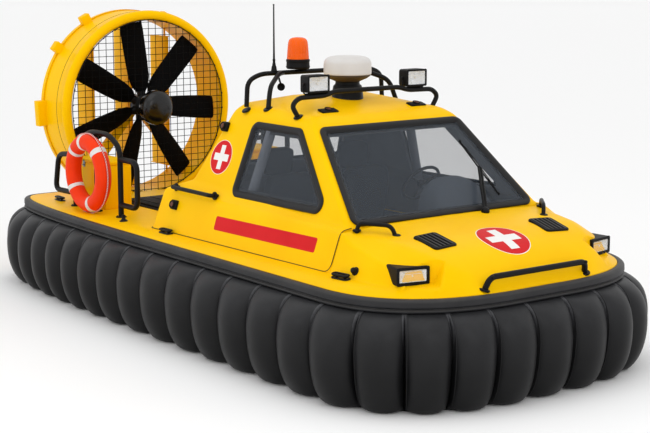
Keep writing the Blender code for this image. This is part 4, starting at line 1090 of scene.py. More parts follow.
# %% Rounded frames and the lamp builder
def frame_ring(x, half_w, half_h, radius):
    """A rounded rectangle in the plane x, as a ring of points."""
    return [(x, a, b) for a, b in rectangle(half_w, half_h, radius, 6)]


def placed(shell, matrix):
    return [tuple(matrix @ Vector(p)) for p in shell[0]], shell[1]


def lamp(kind, label, matrix, w, h, depth, body, border, back):
    """w and h are half the face's size, back the share of it that the rear has."""
    name, b = kind + label, border
    shape = loft_shell(
        [frame_ring(*row) for row in ((-depth, w * back, h * back, 0.02),
        (-depth + 0.012, w * back + 0.008, h * back + 0.006, 0.024),
        (-0.02, w - 0.002, h - 0.002, 0.016), (-0.004, w, h, 0.016),
        (0.0, w - 0.004, h - 0.004, 0.014), (0.0, w - b + 0.003, h - b + 0.003, 0.01),
        (-0.004, w - b, h - b, 0.009), (-0.04, w - b - 0.004, h - b - 0.004, 0.009))])
    add_piece(name + "_housing", placed(shape, matrix), "plastic", body, "black_plastic", name,
        smooth=40)
    w, h = w - b - 0.001, h - b - 0.001
    rings = [frame_ring(-0.0395, w - 0.004, h - 0.004, 0.008),
        frame_ring(-0.01, w - 0.001, h - 0.001, 0.009)]
    rings += [frame_ring(-0.01 - 0.026 * (1 - s ** 2), w * s, h * s, 0.009 * s)
        for s in (0.96, 0.85, 0.7, 0.55, 0.4, 0.25, 0.12)]
    add_piece(name + "_dish", placed(loft_shell(rings), matrix), "chrome", body, "lamp_glass",
        smooth=30)
    bulb = turned_shell((-0.035, 0, 0), AXIS,
        [(0, 0.002), (0, 0.008), (0.012, 0.008), (0.02, 0.005), (0.022, 0.001)], 20)
    visor = soft_box((-0.016, -w * 0.98, h * 0.3), (-0.013, w * 0.98, h * 0.36), 0.0012, 2)
    add_piece(name + "_bulb", [placed(s, matrix) for s in (bulb, visor)], "bulb", body,
        "lamp_glass")
    pane = loft_shell(
        [frame_ring(x, w * s, h * s, r) for x, s, r in ((-0.009, 1, 0.009), (-0.0045, 1, 0.009),
        (-0.0025, 0.9, 0.009), (-0.0018, 0.5, 0.006))])
    add_piece(name + "_lens", placed(pane, matrix), "clear", body, "lamp_glass",
        kind + "lens_" + label, smooth=30)


ROOF_LAMP_Y = 0.53
for label, side in SIDES:
    at = Matrix.Translation((LAMP_X, LAMP_Y * side, 0.99)) @ Matrix.Rotation(LAMP_TURN * side, 4,
        "Z")
    lamp("headlamp_", label, at @ Matrix.Translation((0.056, 0, -0.006)), 0.138, 0.07, 0.24,
        "craft", 0.024, 0.97)
    at = Matrix.Translation((1.07, ROOF_LAMP_Y * side, 2.253))
    lamp("roof_lamp_", label, at, 0.112, 0.075, 0.128, "canopy", 0.016, 0.9)
    bracket = [(x, (ROOF_LAMP_Y + reach) * side, z) for x, reach, z in ((1.005, -0.119, 2.25),
        (1.015, -0.119, 2.17), (1.015, 0.119, 2.17), (1.005, 0.119, 2.25))]
    add_piece("roof_lamp_fork_" + label, [tube_shell(bracket, 0.0065, 0.02, 10)]
        + [lathe((1.005, (ROOF_LAMP_Y + s * 0.113) * side, 2.25), (0, s * side, 0),
        [(0, 0.014), (0.008, 0.013), (0.012, 0.009)], 20) for s in (-1, 1)], "tube", "canopy",
        "black_metal")
print("lamps: 4")

# %% [markdown]
# ## Beacon, radome and whip aerial
# These are all lathe shapes. The beacon's lens is a fluted shell, so its radius is a small wave
# round the axis, with a reflector and a bulb inside it.

# %% Things on the roof
BEACON = (0.31, -0.20)
base_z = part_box("beacon_base")[0][2]
lens_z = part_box("beacon_lens")[0][2]
add_piece("beacon_foot",
    lathe((*BEACON, 0), UP,
    [(base_z + a, r) for a, r in ((0, 0.098), (0.012, 0.105), (0.02, 0.106), (0.026, 0.103),
    (0.06, 0.101), (0.064, 0.105), (0.078, 0.105), (0.084, 0.1))], 72), "plastic", "canopy",
    "black_plastic", "beacon_base")
rings = []
for along, radius, flute in ((0.0, 0.097, 0), (0.005, 0.098, 0), (0.011, 0.096, 1),
        (0.06, 0.093, 1), (0.12, 0.088, 1), (0.148, 0.084, 1), (0.166, 0.078, 0.6),
        (0.179, 0.066, 0), (0.187, 0.046, 0), (0.19, 0.02, 0), (0.1904, 0.004, 0)):
    turn = np.linspace(0, 2 * math.pi, 145)[:-1]
    r = radius + 0.0014 * flute * np.cos(turn * 24)
    rings.append(
        np.stack([BEACON[0] + r * np.cos(turn), BEACON[1] + r * np.sin(turn),
        np.full(144, lens_z + along)], axis=1))
add_piece("beacon_shell", loft_shell(rings), "amber", "canopy", "amber_plastic", "beacon_lens",
    smooth=50)
add_piece("beacon_core",
    lathe((*BEACON, lens_z), UP, [(0.004, 0.07), (0.016, 0.07), (0.02, 0.034), (0.05, 0.03),
    (0.056, 0.052), (0.088, 0.052), (0.094, 0.03), (0.12, 0.026), (0.128, 0.001)], 40),
    "beacon_core", "canopy", "amber_plastic", smooth=30)
add_piece("beacon_bands",
    [turned_shell((*BEACON, 0), UP, [(lens_z + a, r), (lens_z + a + 0.0015, r + 0.0012),
    (lens_z + a + 0.003, r), (lens_z + a + 0.0015, r - 0.002)], 64, True)
    for a, r in ((0.03, 0.0953), (0.06, 0.0938), (0.09, 0.0915), (0.12, 0.0888))], "amber",
    "canopy", "amber_plastic")
DOME_AT, DOME_LOW = (0.764, 0.0), 2.2326
foot_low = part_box("radar_foot")[0][2]
add_piece("radome_foot",
    lathe((*DOME_AT, 0), UP, [(foot_low, 0.145), (foot_low + 0.012, 0.146),
    (foot_low + 0.018, 0.139), (2.13, 0.134), (2.19, 0.124), (2.205, 0.108), (2.222, 0.104),
    (2.2315, 0.108)], 72), "tube", "canopy", "black_metal", "radar_foot", smooth=50)
add_piece("radome_under",
    lathe((*DOME_AT, DOME_LOW), UP, [(0.0, 0.112), (0.006, 0.125), (0.024, 0.168), (0.044, 0.1965),
    (0.053, 0.2025), (0.058, 0.2035)], 96), "dome_base", "canopy", "white_plastic", smooth=50)
add_piece("radome_cap",
    lathe((*DOME_AT, DOME_LOW), UP, [(0.059, 0.2045), (0.061, 0.2065), (0.075, 0.2075),
    (0.15, 0.2065), (0.168, 0.203), (0.185, 0.194), (0.199, 0.178), (0.209, 0.155), (0.215, 0.12),
    (0.219, 0.07), (0.22, 0.001)], 96), "dome", "canopy", "white_plastic", "radar_dome", smooth=60)
WHIP = (0.31, -0.457)
whip_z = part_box("antenna")[0][2]
add_piece("whip_aerial",
    [lathe((*WHIP, whip_z), UP, [(0, 0.026), (0.012, 0.027), (0.018, 0.024), (0.04, 0.022),
    (0.05, 0.017), (0.085, 0.011), (0.092, 0.0125), (0.104, 0.0125), (0.11, 0.0095), (0.19, 0.008),
    (0.4, 0.0066), (0.57, 0.0058), (0.574, 0.0078), (0.58, 0.007), (0.582, 0.001)], 28)], "tube",
    "canopy", "black_metal", "antenna")
add_piece("horn",
    [lathe((0.405, -0.452, 2.178), (0.8, -0.5, 0.1),
    [(-0.045, 0.02), (-0.03, 0.026), (0.01, 0.027), (0.03, 0.034), (0.036, 0.034), (0.034, 0.026),
    (0.012, 0.012), (0.01, 0.001)], 32), tube_shell([(0.405, -0.452, 2.2), (0.36, -0.452, 2.28)],
    0.009, 0, 12)], "plastic", "canopy", "black_plastic")
print("roof pieces done")

# %% [markdown]
# ## Fan
# The blades are paddles: each is a stack of rounded sections whose pitch falls off towards the
# tip. A round spinner covers the hub and clamps with bolts hold each root.

# %% Rotor
BLADES, FIRST_ANGLE = 7, -8.5
BLADE_HUB, FAN_HUB = Vector((-2.75, 0, FAN_Z)), (-2.72, 0, FAN_Z)
# radius, half chord, pitch in degrees, half thickness
STATIONS = ((0.105, 0.036, 42, 0.016), (0.150, 0.052, 36, 0.014), (0.200, 0.086, 30, 0.012),
            (0.300, 0.108, 23, 0.011), (0.450, 0.116, 18, 0.010), (0.600, 0.121, 14, 0.009),
            (0.760, 0.124, 12, 0.008), (0.850, 0.122, 11, 0.007), (0.866, 0.115, 11, 0.005),
            (0.8695, 0.106, 11, 0.003))
shells, clamps = [], []
for k in range(BLADES):
    angle = math.radians(FIRST_ANGLE + 360 * k / BLADES)
    out = Vector((0, math.sin(angle), math.cos(angle)))
    along = Vector((0, math.cos(angle), -math.sin(angle)))
    rings = []
    for radius, half, pitch, thick in STATIONS:
        tilt = math.radians(pitch)
        chord = along * math.cos(tilt) + Vector(AXIS) * math.sin(tilt)
        face = along * -math.sin(tilt) + Vector(AXIS) * math.cos(tilt)
        hub = BLADE_HUB + out * radius
        ring = []
        for step in range(20):
            a = 2 * math.pi * step / 20
            c, s = math.cos(a), math.sin(a)
            flatness = math.copysign(abs(c) ** 0.7, c)
            camber = 0.1 * half * (1 - flatness ** 2)
            ring.append(hub + chord * half * flatness + face * (thick * s + camber - 0.05 * half))
        rings.append(ring)
    shells.append(loft_shell(rings))
    base = BLADE_HUB + out * 0.1
    clamps.append(
        lathe(base, out, [(0, 0.046), (0.02, 0.046), (0.026, 0.041), (0.05, 0.04), (0.055, 0.034)],
        24))
    for s in (-1, 1):
        clamps.append(lathe(base + along * 0.03 * s + Vector((0.035, 0, 0)), AXIS,
            [(0, 0.009), (0.012, 0.009), (0.014, 0.007)], 6))
hub = lathe(FAN_HUB, AXIS, [(-0.165, 0.045), (-0.1, 0.046), (-0.098, 0.112), (-0.092, 0.115),
    (0.015, 0.115), (0.022, 0.108), (0.035, 0.08), (0.15, 0.078), (0.16, 0.082), (0.162, 0.001)],
    64)
add_piece("fan_blades", shells, "blade", "fan", "black_plastic", "fan_rotor", smooth=45)
add_piece("fan_hub", [hub] + clamps, "tube", "fan", "black_metal", smooth=40)
WAIST, BULGE = 0.255, 0.095
spin = [(WAIST - BULGE * math.cos(a), 0.15 + 0.033 * math.sin(a)) for a in np.linspace(0,
    math.pi / 2, 8)]
cap = [(WAIST + BULGE * math.sin(a), 0.001 + 0.182 * math.cos(a) ** 0.8) for a in np.linspace(0,
    math.pi / 2, 16)]
add_piece("fan_spinner", lathe(FAN_HUB, AXIS, spin + cap[1:], 96), "spinner", "fan",
    "black_plastic", smooth=60)
print("blades:", BLADES)

# %% [markdown]
# ## Bolts
# A second small tree puts a hexagon bolt with a washer on every point it is given, turned to
# face along a stored direction. It fills the guard's rim and the rails' foot plates.

# %% Geometry nodes: a bolt on every point
def bolts_tree():
    tree, g_in, g_out = shape_tree("bolts_on_points", Size=0.008)
    facing = add_node(tree, "GeometryNodeInputNamedAttribute", {"data_type": "FLOAT_VECTOR"},
        Name="facing")
    align = add_node(tree, "FunctionNodeAlignRotationToVector", {"axis": "Z"},
        Vector=facing.outputs["Attribute"])
    head = add_node(tree, "GeometryNodeMeshCylinder", None, Vertices=6, Radius=0.62, Depth=0.6)
    washer = add_node(tree, "GeometryNodeMeshCylinder", None, Vertices=16, Radius=1.0, Depth=0.24)
    lifted = add_node(tree, "GeometryNodeTransform", Geometry=head.outputs["Mesh"],
        Translation=(0, 0, 0.38))
    both = add_node(tree, "GeometryNodeJoinGeometry", Geometry=lifted.outputs[0])
    tree.links.new(washer.outputs["Mesh"], both.inputs[0])
    return paint_and_end(tree, g_in, g_out, add_node(tree, "GeometryNodeInstanceOnPoints",
        Points=g_in.outputs["Geometry"], Instance=both.outputs[0], Rotation=align.outputs[0],
        Scale=g_in.outputs["Size"]))


BOLTS = bolts_tree()


def bolts(name, places, body, size):
    """places is a list of (point, direction the head faces)."""
    points = [p for p, _ in places]
    facing = [tuple(Vector(d).normalized()) for _, d in places]
    thing = run_nodes(name, points, [], BOLTS, "tube", {"facing": facing}, Size=size)
    place_piece(thing, body, "black_metal")


rim_bolts = []
for k in range(36):
    a = math.radians(10 * k + 4)
    rim_bolts.append(((-2.606, HOOP * math.sin(a), FAN_Z + HOOP * math.cos(a)), AXIS))
bolts("guard_bolts", rim_bolts, "craft", 0.009)
foot_bolts = []
for side in (-1, 1):
    for x in RAIL_POSTS:
        for k in range(4):
            a = math.pi / 4 + k * math.pi / 2
            foot_bolts.append(
                ((x + 0.038 * math.cos(a), RAIL_Y * side + 0.038 * math.sin(a),
                deck_z(x) + 0.0125), UP))
bolts("rail_foot_bolts", foot_bolts, "craft", 0.006)
print("bolts:", len(rim_bolts) + len(foot_bolts))

# %% [markdown]
# ## Lifebuoy
# The ring is a torus, the bands are short thicker stretches of the same torus, and the grab
# line is a two-strand rope that follows the outside and is held by the bands.

# %% Ring, bands and line
BUOY, BUOY_RADIUS, SIDEWAYS = Vector((-1.705, -1.2205, 1.247)), 0.296, Vector((0, 1, 0))


def torus_part(start, end, tube, steps, closed=False):
    rings = []
    for k in range(steps if closed else steps + 1):
        a = math.radians(start + (end - start) * k / steps)
        out = Vector((math.cos(a), 0, math.sin(a)))
        rings.append(ring_about(BUOY + out * BUOY_RADIUS, tube, out, SIDEWAYS, 40))
    return loft_shell(rings, closed)


add_piece("buoy_ring", torus_part(0, 360, 0.0775, 96, True), "orange", "craft", "orange_foam",
    "lifebuoy", smooth=60)
BANDS = (44, 99, 136, 214, 288)
add_piece("buoy_bands", [torus_part(a - 4.5, a + 4.5, 0.0792, 6) for a in BANDS], "band", "craft",
    "white_plastic", smooth=60)
strands = [[], []]
for k in range(721):
    a = math.radians(k / 2)
    nearest = min(abs((k / 2 - b + 180) % 360 - 180) for b in BANDS)
    reach = BUOY_RADIUS + 0.082 + 0.008 * min(nearest / 18, 1.0)
    out = Vector((math.cos(a), 0, math.sin(a)))
    for s, strand in enumerate(strands):
        twist = a * 95 + s * math.pi
        strand.append(BUOY + out * (reach + 0.0032 * math.cos(twist)) + SIDEWAYS * 0.0032
            * math.sin(twist))
for name, strand, tone in (("white", strands[0], "band"), ("red", strands[1], "red")):
    add_piece("buoy_line_" + name, tube_shell(strand[:-1], 0.004, 0, 6, True), tone, "craft",
        "white_plastic", smooth=80)
print("bands:", len(BANDS))

# %% [markdown]
# ## Stickers
# A sticker is a flat outline laid on a curved moulding. Each point of the outline, and of
# smaller copies inside it, is dropped along one direction until it meets the surface, so the
# sticker follows the curve and stays a closed sheet about a millimetre thick.

# %% Drop an outline on a surface
def surface_tree(thing):
    thing.data.calc_loop_triangles()
    return BVHTree.FromPolygons([v.co for v in thing.data.vertices],
        [tuple(t.vertices) for t in thing.data.loop_triangles])


SURFACES = {"canopy": surface_tree(canopy), "craft": surface_tree(hull)}


def drop(body, start, aim):
    """The point and normal that a ray meets on the canopy or the hull."""
    return SURFACES[body].ray_cast(Vector(start), Vector(aim).normalized())[:2]


def dense(outline, step=0.02):
    """Adds points along the straight runs of a closed plan outline."""
    points = []
    for a, b in zip(outline, outline[1:] + outline[:1]):
        count = max(1, math.ceil(math.dist(a, b) / step))
        points += [tuple(np.add(a, np.subtract(b, a) * k / count)) for k in range(count)]
    return points


def sticker(body, centre, across, up, outline, lift):
    """The outline is in metres in the sticker's own plane, around its middle."""
    centre, across, up = Vector(centre), Vector(across).normalized(), Vector(up).normalized()
    aim = -across.cross(up)
    front, back = [], []
    for share in (0.02, 0.15, 0.3, 0.45, 0.6, 0.75, 0.88, 1.0):
        met = [drop(body, centre + across * a * share + up * b * share - aim * 0.2, aim)[0]
            for a, b in outline]
        front.append([p - aim * lift for p in met])
        back.append([p + aim * 0.0015 for p in met])
    return loft_shell(front + back[::-1])


def cross(reach, half):
    corners = [(half, reach), (-half, reach), (-half, half), (-reach, half), (-reach, -half),
        (-half, -half), (-half, -reach), (half, -reach), (half, -half), (reach, -half),
        (reach, half), (half, half)]
    return dense(corners)


# %% Red discs with a white cross, and a plain red bar
SLOPE = math.radians(20)
side_faces = [("starboard", (1, 0, 0), (0, 0.336, 0.94), -1),
    ("port", (-1, 0, 0), (0, -0.336, 0.94), 1)]
spots = [("hood", "craft", (2.745, 0, 1.12), (0, 1, 0), (-math.cos(SLOPE), 0, math.sin(SLOPE)),
    0.213)]
spots += [("cab_" + label, "canopy", (0.135, 0.899 * s, 1.572), across, up, 0.15)
    for label, across, up, s in side_faces]
for label, body, centre, across, up, radius in spots:
    for kind, outline, lift, tone, slot in (("edge_", circle(radius * 1.03, 72), 0.0006, "white",
            "white_plastic"), ("red_", circle(radius, 72), 0.0011, "red", None),
            ("cross_", cross(radius * 0.72, radius * 0.21), 0.0016, "white", "white_plastic")):
        add_piece("disc_" + kind + label, sticker(body, centre, across, up, outline, lift), tone,
            body, slot, smooth=60)
bar = dense(rectangle(0.72, 0.06, 0.02, 4), 0.03)
for label, across, up, s in side_faces:
    along = (across[0], 0, 0.0165)
    add_piece("side_bar_" + label, sticker("canopy", (1.124, 1.138 * s, 1.066), along, up, bar,
        0.001), "red", "canopy", None, smooth=60)
print("stickers:", 3 * len(spots) + 2)

# %% [markdown]
# ## Seams and deck fittings
# The canopy meets the hull at a thin dark joint with a rounded corner. Small fittings sit beside
# it: horn cleats, sockets, marker lamps. Each fitting is built flat at the origin and then set
# on the surface by a matrix made from the normal that a dropped ray returns.

# %% The joint line
for label, side in SIDES:
    joint = [(-0.5925, 1.1 * side, deck_z(-0.59) + 0.003), (-0.5925, 1.2005 * side, 0.8825),
        (2.0985, 1.2 * side, 0.911), (2.1012, 1.089 * side, 1.2215), (2.101, 0.985 * side, 1.235)]
    add_piece("joint_line_" + label, tube_shell(joint, 0.0028, 0.085, 8), "seal", "canopy",
        "window_seal", smooth=60)


# %% Set things on a surface
def standing(place, normal, along=(1, 0, 0), sink=0.0):
    """A matrix whose z is the surface's normal and whose x follows along."""
    up = Vector(normal).normalized()
    right = (Vector(along) - up * up.dot(Vector(along))).normalized()
    turn = Matrix((right, up.cross(right), up)).transposed().to_4x4()
    return Matrix.Translation(Vector(place) - up * sink) @ turn


def stadium(half_length, half_width, z):
    """A flat oval path in the plane z."""
    reach, steps = half_length - half_width, 10
    path = []
    for k in range(2 * steps + 2):
        a = -math.pi / 2 + math.pi * (k % (steps + 1)) / steps + (math.pi if k > steps else 0)
        path.append(((reach if k <= steps else -reach) + half_width * math.cos(a),
            half_width * math.sin(a), z))
    return path


def oval_plate(half_length, half_width, levels):
    """levels are (height, how far the outline is drawn in)."""
    return loft_shell([stadium(half_length - inset, half_width - inset, z) for z, inset in levels])


CLEAT = [oval_plate(0.095, 0.032, [(-0.004, 0), (0.006, 0), (0.010, 0.004), (0.010, 0.010),
                                   (0.006, 0.014)]),
         tube_shell(stadium(0.082, 0.020, 0.030), 0.0095, 0, 14, True),
         *(lathe((x, 0, 0), UP, [(0, 0.014), (0.03, 0.010), (0.031, 0.001)], 20)
           for x in (-0.045, 0.045))]
SOCKET = [lathe((0, 0, 0), UP, [(-0.004, 0.034), (0.004, 0.034), (0.008, 0.030), (0.010, 0.024),
                                (0.030, 0.023), (0.038, 0.018), (0.041, 0.008),
                                (0.0412, 0.001)], 36)]
CONE = [lathe((0, 0, 0), UP, [(-0.004, 0.040), (0.003, 0.040), (0.008, 0.034), (0.020, 0.020),
                              (0.045, 0.014), (0.055, 0.016), (0.060, 0.013)], 32)]
fittings = 0
for label, side in SIDES:
    for name, shells, x, y, along in (("cleat_bow_", CLEAT, 2.3, 1.238, (1, -0.1 * side, 0)),
            ("cleat_middle_", CLEAT, -0.25, 1.24, (1, 0, 0)),
            ("cleat_stern_", CLEAT, -2.59, 1.075, (1, 0.1 * side, 0)),
            ("socket_", SOCKET, 2.39, 1.17, (1, 0, 0)), ("cone_", CONE, -1.047, 1.215, (1, 0, 0))):
        met, normal = drop("craft", (x, y * side, 1.6), (0, 0, -1))
        add_piece(name + label, [placed(s, standing(met, normal, along)) for s in shells], "tube",
            "craft", "black_metal", smooth=50)
        fittings += 1
print("fittings:", fittings)


# %% Marker lamps
def marker(name, met, normal, along, size):
    """A soft black box with a round bezel and a small amber lens."""
    w, h, deep = size
    frame_matrix = standing(met, normal, along, 0.004)
    shells = [soft_box((-w, -h, 0), (w, h, deep * 0.6), 0.01, 4),
        lathe((0, 0, 0), UP, [(0, h * 0.85), (deep, h * 0.8), (deep, h * 0.62),
        (deep - 0.008, h * 0.58)], 36)]
    add_piece(name, [placed(s, frame_matrix) for s in shells], "plastic", "canopy",
        "black_plastic", smooth=40)
    lens = lathe((0, 0, deep - 0.0075), UP, [(0, h * 0.56), (0.004, h * 0.5), (0.007, h * 0.3),
        (0.008, 0.001)], 28)
    add_piece(name + "_lens", placed(lens, frame_matrix), "amber_dark", "canopy", "amber_plastic",
        smooth=60)


for label, side in SIDES:
    for kind, start, aim, along, size in (("upper_", (0.085, 2.0 * side, 1.825), (0, -side, 0),
            AXIS, (0.045, 0.043, 0.055)), ("lower_", (-0.275, 2.0 * side, 1.118), (0, -side, 0),
            AXIS, (0.045, 0.043, 0.05)), ("roof_", (1.12, 0.476 * side, 3.0), (0, 0, -1), SIDEWAYS,
            (0.085, 0.042, 0.03))):
        marker("marker_" + kind + label, *drop("canopy", start, aim), along, size)
print("marker lamps: 6")

# %% [markdown]
# ## Hood vents
# A vent is a rounded frame round a dark pan, with slats that lean. The slats are one box that a
# small node tree repeats along a line, so their number and spacing are two plain values.

# %% Geometry nodes: a row of slats
def slats_tree():
    tree, g_in, g_out = shape_tree("row_of_slats", Length=0.19, Width=0.03, Lean=0.6)
    size = add_node(tree, "ShaderNodeCombineXYZ", X=g_in.outputs["Width"],
        Y=g_in.outputs["Length"], Z=0.005)
    slat = add_node(tree, "GeometryNodeMeshCube", Size=size.outputs[0])
    lean = add_node(tree, "ShaderNodeCombineXYZ", Y=g_in.outputs["Lean"])
    turned = add_node(tree, "GeometryNodeTransform", Geometry=slat.outputs["Mesh"],
        Rotation=lean.outputs[0])
    return paint_and_end(tree, g_in, g_out, add_node(tree, "GeometryNodeInstanceOnPoints",
        Points=g_in.outputs["Geometry"], Instance=turned.outputs[0]))


SLATS = slats_tree()
for label, side in SIDES:
    met, normal = drop("craft", (2.64, 0.6 * side, 1.6), (0, 0, -1))
    skew = standing(met, normal, (1, -0.07 * side, 0))
    plan = rectangle(0.13, 0.12, 0.035, 6)
    ring = [[(a * (1 - inset / 0.13), b * (1 - inset / 0.12), z) for a, b in plan]
        for z, inset in ((-0.012, 0), (0.005, 0), (0.01, 0.004), (0.011, 0.012), (0.009, 0.02),
        (-0.01, 0.022))]
    pan = [[(a * s, b * s, 0.003) for a, b in plan] for s in (0.86, 0.5, 0.1)]
    pan = [[(a * 0.86, b * 0.86, -0.012) for a, b in plan]] + pan
    add_piece("vent_frame_" + label, [placed(loft_shell(ring, caps=False), skew),
        placed(loft_shell(pan), skew)], "plastic", "craft", "black_plastic", "hood_vent_" + label,
        smooth=40)
    rows = np.linspace(-0.084, 0.084, 5)
    louvres = run_nodes("vent_slats_" + label, [(x, 0, 0.01) for x in rows], [], SLATS, "fender",
        Length=0.226, Width=0.02, Lean=0.12)
    louvres.data.transform(skew @ Matrix.Rotation(math.pi / 2, 4, "Z"))
    place_piece(louvres, "craft", "black_plastic")
print("vents: 2")

# %% [markdown]
# ## Inside the cab
# Seats, dashboard and wheel show through the glass. A seat is foam under a cover, so its
# surface is a soft box that swells between seams; the dashboard is a rounded moulding with a
# hump in front of the wheel.

# %% Seats
def cushion(low, high, puff, seams, turn):
    """A rounded pad: a superellipse box whose upper side swells between seams across it."""
    (x0, y0, z0), (x1, y1, z1) = low, high
    middle = np.array([(x0 + x1) / 2, (y0 + y1) / 2])
    half = np.array([(x1 - x0) / 2, (y1 - y0) / 2])
    rings = []
    levels = [(0.0, 0.06), (0.02, 0.015), (0.1, 0.0), (0.55, 0.0), (0.8, 0.012), (0.93, 0.03),
        (1.0, 0.06)]
    turns = np.linspace(0, 2 * math.pi, 104, endpoint=False)
    c, s = np.cos(turns), np.sin(turns)
    square = np.stack([np.sign(c) * np.abs(c) ** 0.35, np.sign(s) * np.abs(s) ** 0.35], axis=1)
    for share, inset in levels:
        plan = middle + square * (half - inset)
        rings.append(np.column_stack([plan, np.full(len(plan), z0 + (z1 - z0) * share)]))
    for share in (0.9, 0.78, 0.64, 0.5, 0.36, 0.22, 0.08):
        plan = middle + square * (half - 0.06) * share
        rings.append(np.column_stack([plan, np.full(len(plan), z1)]))
    for ring in rings[4:]:
        u = (ring[:, 0] - x0) / (x1 - x0)
        v = np.abs(ring[:, 1] - middle[1]) / half[1]
        swell = np.minimum(np.min([np.abs(u - m) for m in seams], axis=0) / 0.1, 1.0)
        swell = np.minimum(swell, np.abs(v - 0.62) / 0.12)
        ring[:, 2] += puff * (np.sqrt(np.clip(swell, 0, 1)) - 1) * np.clip((ring[:, 2] - z0)
            / (z1 - z0) * 2 - 1, 0, 1)
    shell = loft_shell([list(map(tuple, ring)) for ring in rings])
    return placed(shell, turn)


for label, side in SIDES:
    y = 0.42 * side
    seat = cushion((0.38, -0.24, 0.7803), (0.98, 0.24, 0.915), 0.018, (0.02, 0.3, 0.66, 0.99),
        Matrix.Translation((0, y, 0)))
    lean = Matrix.Translation((0.4, y, 0.8)) @ Matrix.Rotation(math.radians(-80), 4, "Y")
    back_pad = cushion((0.0, -0.245, -0.045), (0.64, 0.245, 0.085), 0.018,
        (0.02, 0.25, 0.5, 0.75, 0.99), lean)
    rest = Matrix.Translation((0.29, y, 1.4)) @ Matrix.Rotation(math.radians(-82), 4, "Y")
    head_pad = cushion((0.0, -0.15, -0.035), (0.235, 0.15, 0.085), 0.01, (0.02, 0.99), rest)
    pad = add_piece("seat_pads_" + label, [seat, back_pad, head_pad], "fabric", "craft",
        "seat_fabric", "seat_" + label, smooth=70)
print("seats: 2")

# %% Dashboard and wheel
profile = rounded_section([(1.62, 0.862), (1.56, 1.1), (1.62, 1.155), (1.9, 1.165), (1.9795, 1.14),
    (1.9795, 0.862)], 0.03, 5)
rings = [[(1.8 + (x - 1.8) * s, y, 1.0 + (z - 1.0) * s) for x, z in profile]
    for y, s in ((-1.0, 0.96), (-0.99, 0.99), (-0.96, 1.0), (0.96, 1.0), (0.99, 0.99),
    (1.0, 0.96))]
hump = rounded_section([(1.5, 1.1), (1.47, 1.38), (1.55, 1.465), (1.72, 1.43), (1.93, 1.2),
    (1.93, 1.1)], 0.06, 6)
cowl = []
for k in range(25):
    share = -1 + 2 * k / 24
    size = max(0.03, (1 - abs(share) ** 3.2) ** 0.55)
    cowl.append(
        [(1.8 + (x - 1.8) * (0.55 + 0.45 * size), 0.45 + 0.33 * share, 1.1 + (z - 1.1) * size)
        for x, z in hump])
shelf = soft_box((1.682, -1.078, 0.802), (1.978, 1.078, 0.892), 0.012, 3)
face = soft_box((1.902, -0.938, 0.932), (2.043, 0.938, 1.148), 0.012, 3)
add_piece("dash_moulding", [loft_shell(rings), loft_shell(cowl), shelf, face], "cabin", "craft",
    "black_plastic", "dashboard", smooth=50)
WHEEL, COLUMN = Vector((1.25, 0.43, 1.36)), Vector((-0.819152, 0, 0.573576))
column = tube_shell([WHEEL - COLUMN * 0.045, WHEEL - COLUMN * 0.4], 0.026, 0, 24)
add_piece("steering_column", column, "cabin", "craft", "black_plastic", smooth=50)
wheel = [turned_shell(WHEEL, COLUMN, circle(0.014, 16, out=0.18), 72, True),
    lathe(WHEEL, COLUMN, [(-0.035, 0.034), (-0.004, 0.04), (0.01, 0.036), (0.016, 0.02),
    (0.017, 0.001)], 40)]
helper = COLUMN.cross(SIDEWAYS).normalized()
for degrees in (90, 210, 330):
    a = math.radians(degrees)
    out = helper * math.sin(a) + SIDEWAYS * math.cos(a)
    wheel.append(
        tube_shell(
        [WHEEL - COLUMN * drop_back + out * reach for drop_back, reach in ((0.004, 0.03),
        (0.006, 0.1), (0, 0.178))], 0.0095, 0.03, 12))
add_piece("wheel_rim", wheel, "plastic", "steering", "black_plastic", "steering_wheel", smooth=50)
posts = [tube_shell([(0.6, 1.0 * s, 0.86), (0.62, 0.945 * s, 1.22), (0.7, 0.735 * s, 1.9),
    (0.72, 0.6 * s, 1.985)], 0.042, 0.06, 20) for s in (-1, 1)]
add_piece("cab_posts", posts, "liner", "canopy", "black_plastic", smooth=50)
print("dashboard, wheel and posts done")

# %% [markdown]
# ## Wiper
# Two arms run side by side from the pivot to the middle of a long blade. All of it is laid
# out in the windscreen's own frame: sideways, up the glass and off the glass.

# %% Arms and blade
PIVOT = Vector((2.16158, 0.35, 1.24271))
GLASS_UP, GLASS_OUT = Vector((-0.7366, 0.0, 0.6763)), Vector((0.6763, 0.0, 0.7366))


def on_glass(side, climb, lift):
    return PIVOT + SIDEWAYS * side + GLASS_UP * climb + GLASS_OUT * lift


shells = [lathe(PIVOT, GLASS_OUT, [(-0.012, 0.033), (0.014, 0.034), (0.024, 0.028), (0.031, 0.018),
    (0.034, 0.001)], 32)]
for offset, start in ((-0.014, 0.0), (0.014, 0.012)):
    shells.append(tube_shell([on_glass(offset, start, 0.012), on_glass(0.1 + offset, 0.21, 0.018),
        on_glass(0.228 + offset, 0.44, 0.004)], 0.0105, 0.05, 12))
BLADE_LOW, BLADE_HIGH = (0.263, 0.152), (0.209, 0.762)


def blade_point(share, lift):
    return on_glass(BLADE_LOW[0] + (BLADE_HIGH[0] - BLADE_LOW[0]) * share,
        BLADE_LOW[1] + (BLADE_HIGH[1] - BLADE_LOW[1]) * share, lift)


